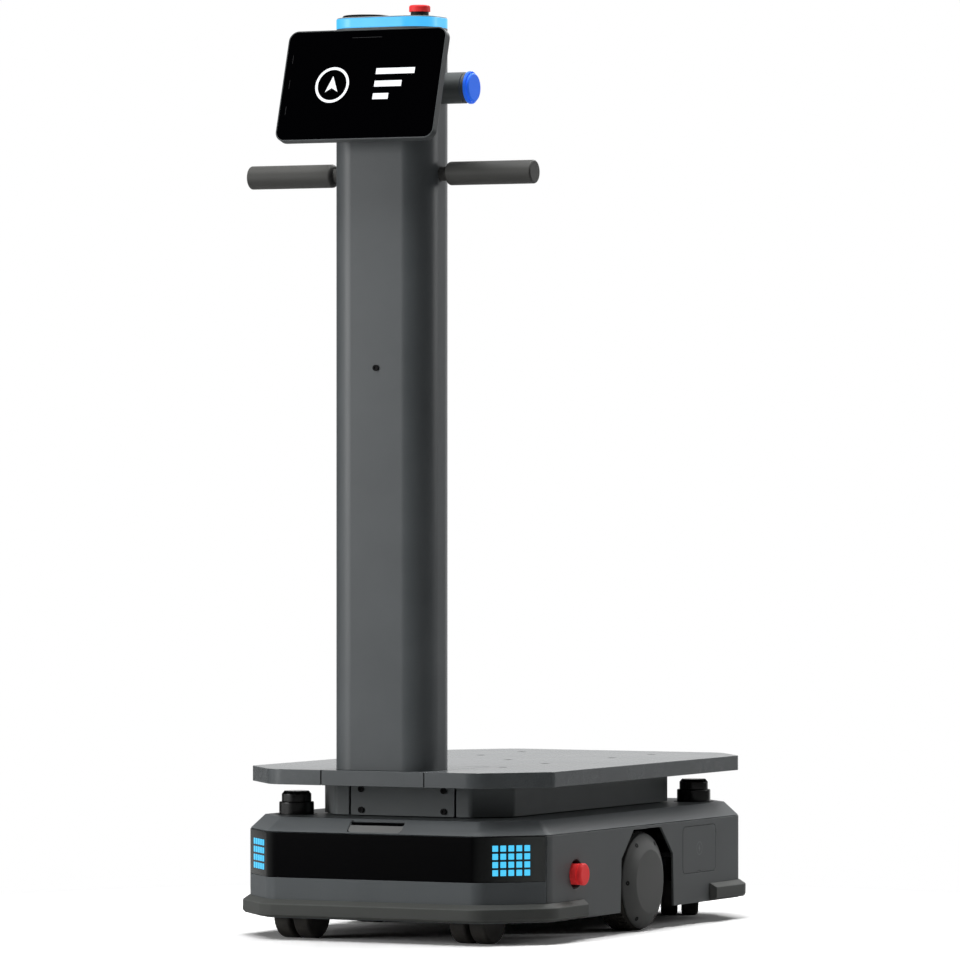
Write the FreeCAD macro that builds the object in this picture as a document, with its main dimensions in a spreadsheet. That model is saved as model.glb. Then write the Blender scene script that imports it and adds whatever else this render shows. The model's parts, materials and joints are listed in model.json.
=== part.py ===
import FreeCAD, Part
import os
import re
import Sketcher

# Delivery robot: a low wheeled body, a load deck on a pedestal, and a column with a tilted display.
# Sizes are millimetres. Front is -Y, the robot's left is -X, up is +Z. Every piece is drawn about the
# point of the floor midway between the drive wheels, and then moved along Y, so that the origin is
# under the middle of the whole robot.

DIMENSIONS = {
    # Lower body, seen from above and from the side
    "body_half_width": 244.0,
    "body_half_length": 410.0,
    "corner_cut_x": 75.0,
    "corner_cut_y": 80.0,
    "corner_round": 30.0,
    "body_bottom": 31.5,
    "shoulder_bottom": 155.5,
    "body_top": 176.0,
    "shoulder_inset": 22.0,
    "wall": 4.0,
    "seam_y": 332.0,
    "seam_gap": 0.8,
    "clear_reach": 600.0,
    # Light panel on the front and its lamp tiles
    "panel_bottom": 90.0,
    "panel_thickness": 2.2,
    "panel_gap": 0.3,
    "panel_end_margin": 2.0,
    "tile": 8.6,
    "tile_pitch": 12.2,
    "tile_rise": 11.6,
    "tile_thickness": 0.4,
    "tile_middle": 121.0,
    "tile_shift": 4.0,
    # Bumpers
    "bumper_depth": 11.0,
    "bumper_reach": 421.0,
    "bumper_bottom": 33.0,
    "bumper_top": 58.5,
    "bumper_bevel_down": 6.5,
    "bumper_bevel_in": 9.5,
    "bumper_edge": 3.5,
    "bumper_gap": 0.3,
    "bumper_end": 217.0,
    "bumper_ramp": 6.0,
    "bumper_ramp_out": 12.0,
    # Base frame, battery and control unit
    "frame_bottom": 104.0,
    "frame_thickness": 6.0,
    "frame_gap": 1.5,
    "weld_overlap": 1.0,
    "notch_margin": 4.0,
    "wheel_notch_x": 150.0,
    "wheel_notch_y": 95.0,
    "cradle_half_width": 126.0,
    "cradle_half_length": 180.0,
    "cradle_wall": 4.0,
    "cradle_bottom": 32.0,
    "battery_half_width": 118.0,
    "battery_half_length": 165.0,
    "battery_bottom": 36.5,
    "battery_top": 100.0,
    "control_half_width": 80.0,
    "control_half_length": 140.0,
    "control_top": 150.0,
    "post_size": 40.0,
    "post_x": 105.0,
    "front_post_y": 140.0,
    "rear_post_y": 230.0,
    "foot_post_x": 52.0,
    "foot_post_y": 270.0,
    "post_gap": 0.8,
    # Camera in the front shoulder
    "slot_half_width": 44.0,
    "slot_length": 23.0,
    "slot_round": 4.0,
    "slot_depth": 40.0,
    "sill_depth": 1.8,
    "camera_half_width": 42.5,
    "camera_height": 6.9,
    "camera_lift": 7.6,
    "camera_gap": 0.3,
    "camera_flange": 1.2,
    "camera_depth": 12.0,
    "camera_sink": 3.0,
    "camera_round": 3.0,
    # Scanners
    "scanner_x": 178.0,
    "scanner_y": 306.0,
    "scanner_base_radius": 25.5,
    "scanner_base_top": 194.8,
    "scanner_window_radius": 21.7,
    "scanner_top": 210.3,
    "scanner_round": 2.0,
    "scanner_bevel_in": 4.0,
    "scanner_bevel_down": 4.6,
    # Pedestal
    "pedestal_half_width": 155.0,
    "pedestal_half_length": 315.0,
    "pedestal_cut_x": 45.0,
    "pedestal_cut_y": 53.0,
    "pedestal_round": 10.0,
    "pedestal_bottom": 177.5,
    "pedestal_wall": 3.0,
    "plate_half_width": 84.0,
    "plate_gap": 3.0,
    "plate_thickness": 3.0,
    "plate_top": 223.5,
    "screw_x": 67.0,
    "screw_low": 185.0,
    "screw_high": 215.0,
    "screw_radius": 4.5,
    "screw_head": 2.5,
    "socket_radius": 2.3,
    # Load deck and the column's foot
    "deck_bottom": 224.0,
    "deck_top": 246.0,
    "deck_half_width": 245.0,
    "deck_front_cut_x": 79.0,
    "deck_front_cut_y": 92.0,
    "deck_rear_cut_x": 68.0,
    "deck_rear_cut_y": 87.0,
    "deck_end_round": 40.0,
    "deck_side_round": 14.0,
    "deck_edge": 0.8,
    "deck_plate": 5.0,
    "deck_rim": 4.0,
    "foot_half_width": 84.0,
    "foot_gap": 1.8,
    "foot_rear": 200.0,
    "insert_x": 110.0,
    "front_insert_near": 210.0,
    "front_insert_far": 70.0,
    "rear_insert_near": 160.0,
    "rear_insert_far": 300.0,
    "middle_insert_y": 30.0,
    "insert_radius": 6.5,
    "insert_bore": 3.4,
    "insert_length": 12.0,
    # Column, its light ring and its top
    "column_half_width": 80.0,
    "column_half_depth": 50.0,
    "column_y": 348.0,
    "column_round": 40.0,
    "column_wall": 4.0,
    "column_top": 1313.0,
    "column_screw": 824.0,
    "ring_gap": 0.3,
    "ring_wall": 7.0,
    "ring_top": 1327.0,
    "plug_bottom": 1306.0,
    "cap_inset": 1.2,
    "cap_top": 1328.7,
    "cap_edge": 0.8,
    "window_x": 41.0,
    "window_radius": 35.0,
    "window_top": 1333.4,
    "window_round": 3.0,
    "top_stop_x": 45.0,
    "collar_radius": 13.0,
    "collar_top": 1338.7,
    "collar_floor": 1330.7,
    "head_bottom": 1336.4,
    "head_ceiling": 1342.7,
    "head_top": 1346.0,
    "head_radius": 15.3,
    "head_edge": 3.0,
    "stem_radius": 5.0,
    "stem_bottom": 1334.7,
    "slide_gap": 0.3,
    "stem_gap": 0.08,
    # Display, in its own tilted frame
    "display_half_width": 127.0,
    "display_height": 167.5,
    "display_thickness": 15.0,
    "display_round": 15.0,
    "display_back_edge": 4.0,
    "display_reach": 470.0,
    "display_bottom": 1148.5,
    "display_lean": 16.8,
    "glass_inset": 2.0,
    "glass_thickness": 2.0,
    "glass_gap": 0.2,
    "pocket_inset": 14.0,
    "pocket_floor": 12.0,
    "bracket_half_width": 38.0,
    "bracket_low": 45.0,
    "bracket_high": 125.0,
    "bracket_foot_low": 1190.0,
    "bracket_foot_high": 1268.0,
    # Handles and the call button
    "handle_height": 1103.0,
    "bar_radius": 10.5,
    "bar_half_length": 224.0,
    "grip_radius": 17.0,
    "grip_start": 92.0,
    "grip_end": 229.6,
    "grip_edge": 2.5,
    "grip_collar_edge": 5.0,
    "fit_gap": 0.05,
    "call_height": 1225.5,
    "boss_radius": 22.5,
    "boss_start": 60.0,
    "boss_end": 119.0,
    "nose_radius": 20.8,
    "nose_end": 125.5,
    "bezel_radius": 23.5,
    "bezel_bore": 20.8,
    "bezel_end": 129.5,
    "bezel_edge": 1.2,
    "call_radius": 20.4,
    "call_back": 129.0,
    "call_face": 133.5,
    "call_edge": 2.5,
    "call_stem_end": 117.5,
    "call_bore_end": 112.0,
    # Side covers: wheel arch, stop buttons and charge door
    "arch_top_half": 47.5,
    "arch_top": 150.5,
    "arch_side_half": 89.0,
    "arch_bend": 110.0,
    "arch_foot_half": 92.0,
    "stop_y": 243.0,
    "stop_z": 96.0,
    "stop_hole": 22.0,
    "cup_radius": 21.7,
    "cup_mouth": 20.5,
    "cup_bottom_radius": 17.5,
    "cup_face": 243.6,
    "cup_inside": 229.0,
    "cup_back": 226.0,
    "stop_face": 259.0,
    "stop_cap_back": 252.4,
    "stop_groove_back": 250.0,
    "stop_ring_back": 233.0,
    "stop_radius": 16.0,
    "stop_groove": 13.5,
    "stop_ring": 15.2,
    "stop_edge": 3.0,
    "stop_stem_end": 221.0,
    "stop_stem_room": 10.0,
    "door_front": 124.5,
    "door_rear": 241.0,
    "door_bottom": 77.0,
    "door_top": 146.0,
    "door_thickness": 3.0,
    "door_round": 8.0,
    "door_hinge_drop": 10.0,
    "door_gap": 0.7,
    "door_pin_radius": 1.0,
    "door_pin_overhang": 2.6,
    "pull_y": 183.0,
    "pull_half_width": 6.0,
    "pull_height": 2.5,
    "socket_back": 214.0,
    "socket_face": 239.7,
    "socket_wall": 2.5,
    "socket_margin": 2.0,
    "socket_top_room": 4.0,
    "connector_half_width": 28.0,
    "connector_half_height": 14.0,
    "connector_length": 9.0,
    "contact_half_width": 7.0,
    "contact_half_height": 9.0,
    "contact_length": 1.5,
    "contact_offset": 14.0,
    # Drive units
    "wheel_radius": 73.0,
    "tyre_inner": 56.0,
    "tyre_start": 192.0,
    "tyre_end": 234.0,
    "tyre_round": 6.0,
    "motor_start": 194.0,
    "motor_end": 232.0,
    "axle_radius": 7.0,
    "axle_end": 227.0,
    "axle_bore_end": 229.0,
    "cover_rim": 70.0,
    "cover_back": 234.4,
    "cover_rim_face": 237.0,
    "cover_face": 248.0,
    "cover_flat": 46.5,
    "cover_skin": 2.5,
    "cover_boss": 20.0,
    "arm_start": 168.0,
    "arm_end": 180.0,
    "arm_wheel_boss": 24.0,
    "arm_pivot_boss": 20.0,
    "arm_pivot_y": 115.0,
    "arm_pivot_z": 76.0,
    "pivot_radius": 8.0,
    "bracket_start": 140.0,
    "bracket_end": 166.0,
    "bracket_half": 20.0,
    "bracket_bottom": 58.0,
    "pin_end": 182.0,
    # Casters, each in a frame of its own about its kingpin
    "caster_x": 142.0,
    "caster_y": 334.0,
    "caster_trail": 22.0,
    "caster_radius": 37.5,
    "caster_wheel_start": 3.25,
    "caster_wheel_end": 28.25,
    "caster_wheel_round": 4.0,
    "caster_axle_radius": 5.0,
    "caster_axle_half": 27.0,
    "leg_half_width": 2.25,
    "leg_front": 12.0,
    "leg_rear": 34.0,
    "leg_bottom": 27.0,
    "race_radius": 24.0,
    "race_bottom": 86.0,
    "race_top": 96.0,
    "kingpin_radius": 6.0,
    "kingpin_top": 103.0,
    "caster_plate_half": 36.0,
    "caster_plate_bottom": 97.0,
    "front_left_swivel": 180.0,
    "front_right_swivel": 180.0,
    "rear_left_swivel": 10.0,
    "rear_right_swivel": 26.5,
}

LED_COLUMNS = 5
LED_ROWS = 4
NEAR = 1e-3
TO_MIDDLE = "(display_reach - bumper_reach) / 2"
DOOR_AXIS_X = "body_half_width - door_thickness / 2"
DOOR_AXIS_Z = "door_top - door_hinge_drop"
SIDES = {"left": -1, "right": 1}
UP = FreeCAD.Vector(0, 0, 1)
ACROSS = FreeCAD.Vector(1, 0, 0)
ALONG = FreeCAD.Vector(0, 1, 0)
TURNS = {"+x": (ALONG, 90), "-x": (ALONG, -90), "+y": (ACROSS, -90), "-y": (ACROSS, 90), "+z": (UP, 0)}

doc = FreeCAD.newDocument("delivery_robot")
sheet = doc.addObject("Spreadsheet::Sheet", "dims")
nodes = []
places = {}


def fill_sheet():
    """Write each driving dimension to the sheet under its own alias."""
    for row, (alias, number) in enumerate(DIMENSIONS.items(), start=1):
        sheet.set(f"A{row}", alias)
        sheet.set(f"B{row}", str(number))
        sheet.setAlias(f"B{row}", alias)
    doc.recompute()


def tied(text):
    """Turn the aliases in a formula into references to the sheet."""
    return re.sub(r"[a-z][a-z_]*", lambda word: f"dims.{word[0]}" if word[0] in DIMENSIONS else word[0], text)


def value(text):
    """Work out a formula with the sheet's present sizes."""
    return float(sheet.evalExpression(tied(text)))


def bind(obj, **texts):
    """Tie properties to formulas; a double underscore in a name stands for a dot."""
    for name, text in texts.items():
        obj.setExpression(name.replace("__", "."), tied(text))


def place(obj, x="0", y="0", z="0", turn=None):
    """Put an object at a point given by formulas, with an optional fixed turn (axis, degrees)."""
    if turn is not None:
        obj.Placement = FreeCAD.Placement(FreeCAD.Vector(), FreeCAD.Rotation(*turn))
    places[obj.Name] = y
    bind(obj, Placement__Base__x=x, Placement__Base__y=y, Placement__Base__z=z)
    return obj


def node(obj, label):
    """Make an object one of the robot's pieces and move it to the robot's own frame."""
    obj.Label = label
    bind(obj, Placement__Base__y=f"{places.get(obj.Name, '0')} + {TO_MIDDLE}")
    nodes.append(obj)
    return obj


def polygon(body, plane, corners, height="0"):
    """Closed outline of straight edges on one of the body's planes, every corner tied to the sheet."""
    sketch = body.newObject("Sketcher::SketchObject", f"{body.Name}_outline")
    support = next(item for item in body.Origin.OriginFeatures if item.Role == plane)
    sketch.AttachmentSupport = [(support, "")]
    sketch.MapMode = "FlatFace"
    bind(sketch, AttachmentOffset__Base__z=height)
    points = [FreeCAD.Vector(value(x), value(y), 0) for x, y in corners]
    count = len(points)
    for index, start in enumerate(points):
        sketch.addGeometry(Part.LineSegment(start, points[(index + 1) % count]))
    for index in range(count):
        sketch.addConstraint(Sketcher.Constraint("Coincident", index, 2, (index + 1) % count, 1))
    for index, (x, y) in enumerate(corners):
        for kind, text in (("DistanceX", x), ("DistanceY", y)):
            number = sketch.addConstraint(Sketcher.Constraint(kind, -1, 1, index, 1, value(text)))
            bind(sketch, **{f"Constraints[{number}]": text})
    return sketch


def prism(name, corners, start, end, plane="XY_Plane"):
    """Body raised from an outline, between two distances along the plane's normal."""
    body = doc.addObject("PartDesign::Body", name)
    outline = polygon(body, plane, corners, start)
    pad = body.newObject("PartDesign::Pad", f"{name}_pad")
    pad.Profile = outline
    bind(pad, Length=f"({end}) - ({start})")
    doc.recompute()
    return body


def turned(name, profile):
    """Body turned about its own Z axis from a profile of (radius, height) corners."""
    body = doc.addObject("PartDesign::Body", name)
    outline = polygon(body, "XZ_Plane", profile)
    spin = body.newObject("PartDesign::Revolution", f"{name}_turn")
    spin.Profile = outline
    spin.ReferenceAxis = (outline, ["V_Axis"])
    doc.recompute()
    return body


def edges_where(body, chosen):
    """Names of the edges of a body's last feature that a test picks."""
    return [f"Edge{index}" for index, edge in enumerate(body.Tip.Shape.Edges, start=1) if chosen(edge)]


def upright(edge):
    """True for a straight edge along Z."""
    first, last = edge.Vertexes[0].Point, edge.Vertexes[-1].Point
    return len(edge.Vertexes) == 2 and (last - first).cross(UP).Length < NEAR


def level(height):
    """Test for edges that lie at one height."""
    level_z = value(height)
    return lambda edge: max(abs(edge.BoundBox.ZMin - level_z), abs(edge.BoundBox.ZMax - level_z)) < NEAR


def rim(height, radius):
    """Test for a round edge about the Z axis at one height."""
    size = value(radius)
    flat = level(height)
    return lambda edge: flat(edge) and abs(edge.BoundBox.XMax - size) < NEAR


def round_edges(body, radius, chosen):
    """Round the chosen edges of a body."""
    base = body.Tip
    names = edges_where(body, chosen)
    fillet = body.newObject("PartDesign::Fillet", f"{body.Name}_round")
    fillet.Base = (base, names)
    bind(fillet, Radius=radius)
    body.Tip = fillet
    doc.recompute()
    return body


def bevel_edges(body, down, across, chosen):
    """Bevel the chosen top edges of a body, by one distance down its side and one across its top."""
    base = body.Tip
    names = edges_where(body, chosen)
    bevel = body.newObject("PartDesign::Chamfer", f"{body.Name}_bevel")
    bevel.Base = (base, names)
    bevel.ChamferType = "Two distances"
    bind(bevel, Size=down, Size2=across)
    body.Tip = bevel
    doc.recompute()
    return body


def block(name, x, y, z):
    """Box between two faces along each axis."""
    box = doc.addObject("Part::Box", name)
    bind(box, Length=f"({x[1]}) - ({x[0]})", Width=f"({y[1]}) - ({y[0]})", Height=f"({z[1]}) - ({z[0]})")
    return place(box, x[0], y[0], z[0])


def rod(name, radius, length, direction, x="0", y="0", z="0"):
    """Cylinder that starts at a point and runs along one axis."""
    cylinder = doc.addObject("Part::Cylinder", name)
    bind(cylinder, Radius=radius, Height=length)
    return place(cylinder, x, y, z, TURNS[direction])


def join(name, shapes):
    """One solid from several that touch or overlap."""
    fusion = doc.addObject("Part::MultiFuse", name)
    fusion.Shapes = shapes
    return fusion


def cut(name, base, *tools):
    """What is left of a shape once the tools are taken away."""
    result = doc.addObject("Part::Cut", name)
    result.Base = base
    result.Tool = tools[0] if len(tools) == 1 else join(f"{name}_tools", list(tools))
    return result


def common(name, first, second):
    """What two shapes share."""
    result = doc.addObject("Part::Common", name)
    result.Base = first
    result.Tool = second
    return result


def group(name, shapes):
    """Separate solids kept together as one piece."""
    compound = doc.addObject("Part::Compound", name)
    compound.Links = shapes
    return compound


def mirrored(name, shape):
    """The same shape on the robot's other side."""
    twin = doc.addObject("Part::Mirroring", name)
    twin.Source = shape
    twin.Normal = ACROSS
    return twin


def plan_corners(half_width, half_length, front_cut, rear_cut, inset="0"):
    """Corners of a rectangle with cut corners, seen from above and moved inward by an inset."""
    corners = []
    for sign_y, (cut_x, cut_y) in ((-1, front_cut), (1, rear_cut)):
        lean = f"atan(({cut_y}) / ({cut_x}))"
        end_x = f"({half_width}) - ({cut_x}) - ({inset}) * tan({lean} / 2)"
        end_y = f"({half_length}) - ({inset})"
        side_x = f"({half_width}) - ({inset})"
        side_y = f"({half_length}) - ({cut_y}) - ({inset}) * tan(45 deg - {lean} / 2)"
        pair = [(end_x, f"{sign_y} * ({end_y})"), (side_x, f"{sign_y} * ({side_y})")]
        corners.extend(pair if sign_y < 0 else reversed(pair))
    return corners + [(f"-({x})", y) for x, y in reversed(corners)]


def rectangle(half_width, low, high):
    """Corners of a rectangle about the middle line."""
    return [(f"-({half_width})", low), (half_width, low), (half_width, high), (f"-({half_width})", high)]


def body_prism(name, inset, start, end):
    """Prism of the lower body's outline, moved inward by an inset, with round corners."""
    corner = ("corner_cut_x", "corner_cut_y")
    corners = plan_corners("body_half_width", "body_half_length", corner, corner, inset)
    body = prism(name, corners, start, end)
    return round_edges(body, f"corner_round - ({inset})", upright)


def column_prism(name, inset, start, end):
    """Prism of the column's section, moved inward by an inset."""
    half = f"column_half_depth - ({inset})"
    corners = rectangle(f"column_half_width - ({inset})", f"-column_y - ({half})", f"-column_y + {half}")
    body = prism(name, corners, start, end)
    return round_edges(body, f"column_round - ({inset})", upright)


def everywhere():
    """Range that is wider than the robot."""
    return ("-clear_reach", "clear_reach")


def make_body_shell():
    """Hollow lower body with sloping shoulders, before it is split into covers."""
    rise = "(body_top - shoulder_bottom)"
    slope = f"atan({rise} / shoulder_inset)"
    inner_across = f"shoulder_inset * (1 - wall / {rise}) + wall / sin({slope}) - wall"
    outer = body_prism("shell_outside", "0", "body_bottom", "body_top")
    bevel_edges(outer, rise, "shoulder_inset", level("body_top"))
    inner = body_prism("shell_inside", "wall", "body_bottom - wall", "body_top - wall")
    bevel_edges(inner, f"({inner_across}) * {rise} / shoulder_inset", inner_across, level("body_top - wall"))
    return cut("body_shell", outer, inner)


def cover_zone(name, x, y):
    """Space that holds one of the upright covers."""
    return block(name, x, y, ("-clear_reach", "shoulder_bottom - seam_gap / 2"))


def make_light_panel(front_wall):
    """Gloss panel let into the front cover, and the cover itself."""
    top = "shoulder_bottom - seam_gap"
    front_end = "-seam_y - panel_end_margin"
    skin = body_prism("panel_skin", "0", "panel_bottom", top)
    back = body_prism("panel_back", "panel_thickness", "panel_bottom - wall", "body_top")
    reach = ("-clear_reach", front_end)
    lens_zone = block("panel_zone", everywhere(), reach, ("0", "body_top"))
    node(common("light_panel", cut("panel_ring", skin, back), lens_zone), "light_panel")
    seat_reach = ("-clear_reach", f"{front_end} + panel_gap")
    seat_zone = block("panel_seat", everywhere(), seat_reach, ("panel_bottom - panel_gap", "body_top"))
    core = body_prism("panel_core", "panel_thickness + panel_gap", "panel_bottom - wall", "body_top + wall")
    node(cut("front_cover", front_wall, cut("panel_recess", seat_zone, core)), "front_cover")


def make_led_tiles():
    """Lamp tiles in rows on the two cut corners at the front."""
    lean = "atan(corner_cut_y / corner_cut_x)"
    tiles = []
    for column in range(LED_COLUMNS):
        along = f"({column - (LED_COLUMNS - 1) / 2} * tile_pitch - tile / 2 - tile_shift)"
        for row in range(LED_ROWS):
            tile = doc.addObject("Part::Box", f"led_{column}_{row}")
            bind(tile, Length="tile", Width="tile_thickness", Height="tile")
            x = f"body_half_width - corner_cut_x / 2 + {along} * cos({lean}) + tile_thickness * sin({lean})"
            y = f"-body_half_length + corner_cut_y / 2 + {along} * sin({lean}) - tile_thickness * cos({lean})"
            z = f"tile_middle + {row - (LED_ROWS - 1) / 2} * tile_rise - tile / 2"
            place(tile, x, y, z, (UP, value(lean)))
            bind(tile, Placement__Rotation__Angle=lean)
            tiles.append(tile)
    right = group("right_led_tiles", tiles)
    node(group("led_tiles", [right, mirrored("left_led_tiles", right)]), "led_tiles")


def make_side_covers(shell):
    """Side covers with their wheel arches, stop button holes and the charge door's opening."""
    half_length = "seam_y - seam_gap / 2"
    arch_half = [
        ("arch_foot_half", "-clear_reach"),
        ("arch_foot_half", "body_bottom"),
        ("arch_side_half", "arch_bend"),
        ("arch_top_half", "arch_top"),
    ]
    arch_corners = arch_half + [(f"-({y})", z) for y, z in reversed(arch_half)]
    arch = prism("wheel_arch", arch_corners, "-clear_reach", "clear_reach", "YZ_Plane")
    hole_start = ("-clear_reach", "-stop_y", "stop_z")
    stop_hole = rod("stop_hole_tool", "stop_hole", "2 * clear_reach", "+x", *hole_start)
    walls = {}
    for side, x in (("left", ("-clear_reach", "0")), ("right", ("0", "clear_reach"))):
        zone = cover_zone(f"{side}_zone", x, (f"-({half_length})", half_length))
        walls[side] = common(f"{side}_wall", shell, zone)
    node(cut("left_side_cover", walls["left"], arch, stop_hole), "left_side_cover")
    opening = door_prism("door_opening", "door_gap", "0", "clear_reach")
    pin_hole = door_pin("door_pin_hole", "door_pin_radius + fit_gap", "door_pin_overhang + door_gap")
    node(cut("right_side_cover", walls["right"], arch, stop_hole, opening, pin_hole), "right_side_cover")


def door_prism(name, margin, start, end):
    """Prism across the charge door's outline, grown by a margin."""
    low_y, high_y = f"door_front - ({margin})", f"door_rear + ({margin})"
    low_z, high_z = f"door_bottom - ({margin})", f"door_top + ({margin})"
    corners = [(low_y, low_z), (high_y, low_z), (high_y, high_z), (low_y, high_z)]
    body = prism(name, corners, start, end, "YZ_Plane")

    def crosswise(edge):
        """True for a straight edge along X."""
        return (edge.Vertexes[-1].Point - edge.Vertexes[0].Point).cross(ACROSS).Length < NEAR

    return round_edges(body, f"door_round + ({margin})", crosswise)


def door_pin(name, radius, overhang):
    """Hinge pin across the charge door, below its top edge."""
    start = f"door_front - ({overhang})"
    length = f"door_rear - door_front + 2 * ({overhang})"
    return rod(name, radius, length, "+y", DOOR_AXIS_X, start, DOOR_AXIS_Z)


def make_charge_door():
    """Flap over the charging contacts, with its hinge pin and a pull at its lower edge."""
    leaf = door_prism("door_leaf", "0", "body_half_width - door_thickness", "body_half_width")
    pin = door_pin("door_hinge_pin", "door_pin_radius", "door_pin_overhang")
    pull_y = ("pull_y - pull_half_width", "pull_y + pull_half_width")
    pull = block("door_pull", ("0", "clear_reach"), pull_y, ("0", "door_bottom + pull_height"))
    node(cut("charge_door", join("door_with_pin", [leaf, pin]), pull), "charge_door")


def make_charge_socket():
    """Tray behind the charge door, with a connector block and two contacts."""
    margin = "socket_margin"
    outer_y = (f"door_front + {margin}", f"door_rear - {margin}")
    outer_z = (f"door_bottom + {margin}", f"{DOOR_AXIS_Z} - socket_top_room")
    tray = block("socket_tray", ("socket_back", "socket_face"), outer_y, outer_z)
    hollow_y = (f"{outer_y[0]} + socket_wall", f"{outer_y[1]} - socket_wall")
    hollow_z = (f"{outer_z[0]} + socket_wall", f"{outer_z[1]} - socket_wall")
    hollow = block("socket_hollow", ("socket_back + socket_wall", "clear_reach"), hollow_y, hollow_z)
    middle_y, middle_z = "(door_front + door_rear) / 2", f"(door_bottom + {DOOR_AXIS_Z}) / 2"
    face = "socket_back + socket_wall + connector_length"
    wide = (f"{middle_y} - connector_half_width", f"{middle_y} + connector_half_width")
    tall = (f"{middle_z} - connector_half_height", f"{middle_z} + connector_half_height")
    connector = block("connector", ("socket_back", face), wide, tall)
    node(join("charge_socket", [cut("socket_shell", tray, hollow), connector]), "charge_socket")
    contacts = []
    for side, sign in SIDES.items():
        y = f"{middle_y} + {sign} * contact_offset"
        contact_y = (f"{y} - contact_half_width", f"{y} + contact_half_width")
        contact_z = (f"{middle_z} - contact_half_height", f"{middle_z} + contact_half_height")
        contacts.append(block(f"{side}_contact", (face, f"{face} + contact_length"), contact_y, contact_z))
    node(group("charge_contacts", contacts), "charge_contacts")


def make_side_stops():
    """Cups in the side covers, each with a red mushroom that slides in it."""
    cup_profile = [
        ("stem_radius + stem_gap", "cup_back"),
        ("cup_radius", "cup_back"),
        ("cup_radius", "cup_face"),
        ("cup_mouth", "cup_face"),
        ("cup_bottom_radius", "cup_inside"),
        ("stem_radius + stem_gap", "cup_inside"),
    ]
    button_profile = [
        ("0", "stop_stem_end"),
        ("stem_radius", "stop_stem_end"),
        ("stem_radius", "stop_ring_back"),
        ("stop_ring", "stop_ring_back"),
        ("stop_ring", "stop_groove_back"),
        ("stop_groove", "stop_groove_back"),
        ("stop_groove", "stop_cap_back"),
        ("stop_radius", "stop_cap_back"),
        ("stop_radius", "stop_face"),
        ("0", "stop_face"),
    ]
    cups = []
    for side, sign in SIDES.items():
        turn = TURNS["+x" if sign > 0 else "-x"]
        cup = turned(f"{side}_stop_cup", cup_profile)
        cups.append(place(cup, "0", "-stop_y", "stop_z", turn))
        button = turned(f"{side}_stop_button", button_profile)
        round_edges(button, "stop_edge", rim("stop_face", "stop_radius"))
        node(place(button, "0", "-stop_y", "stop_z", turn), f"{side}_stop_button")
    node(group("stop_cups", cups), "stop_cups")


def lean_on_shoulder(piece):
    """Put a piece in the middle of the front shoulder, square to its slope."""
    slope = "atan((body_top - shoulder_bottom) / shoulder_inset)"
    middle_y = "-body_half_length + shoulder_inset / 2"
    place(piece, "0", middle_y, "(shoulder_bottom + body_top) / 2", (ACROSS, value(slope)))
    bind(piece, Placement__Rotation__Angle=slope)
    return piece


def camera_prism(name, margin, start, end):
    """Prism of the front camera in the upper part of its slot, grown by a margin."""
    half = f"(camera_height / 2 + ({margin}))"
    corners = rectangle(f"camera_half_width + ({margin})", f"camera_lift - {half}", f"camera_lift + {half}")
    return round_edges(prism(name, corners, start, end), f"camera_round + ({margin})", upright)


def make_top_cover(shell):
    """Lid of the lower body with its shoulders, the camera slot and the holes for the deck's posts."""
    zone = block("lid_zone", everywhere(), everywhere(), ("shoulder_bottom + seam_gap / 2", "clear_reach"))
    lid = common("lid", shell, zone)
    sill_corners = rectangle("slot_half_width", "-slot_length / 2", "slot_length / 2")
    sill = prism("camera_sill", sill_corners, "-sill_depth", "slot_depth")
    round_edges(sill, "slot_round", upright)
    window = camera_prism("camera_hole", "camera_gap", "-slot_depth / 2", "slot_depth")
    holes = [lean_on_shoulder(sill), lean_on_shoulder(window)]
    for index, (x, y) in enumerate(post_spans("post_gap")):
        holes.append(block(f"post_hole_{index}", x, y, ("0", "clear_reach")))
    node(cut("top_cover", lid, *holes), "top_cover")
    back = "-wall - fit_gap"
    lens = camera_prism("camera_lens", "0", f"{back} - weld_overlap", "-camera_sink")
    case = camera_prism("camera_case", "camera_flange", f"{back} - camera_depth", back)
    node(lean_on_shoulder(join("front_camera", [lens, case])), "front_camera")


def post_spans(margin):
    """X and Y ranges of the deck's posts, grown by a margin: four under the deck, two under the foot."""
    half = f"(post_size / 2 + ({margin}))"
    middles = [(f"{sx} * post_x", y) for y in ("-front_post_y", "rear_post_y") for sx in (-1, 1)]
    middles += [(f"{sx} * foot_post_x", "-foot_post_y") for sx in (-1, 1)]
    return [((f"{x} - {half}", f"{x} + {half}"), (f"{y} - {half}", f"{y} + {half}")) for x, y in middles]


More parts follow.
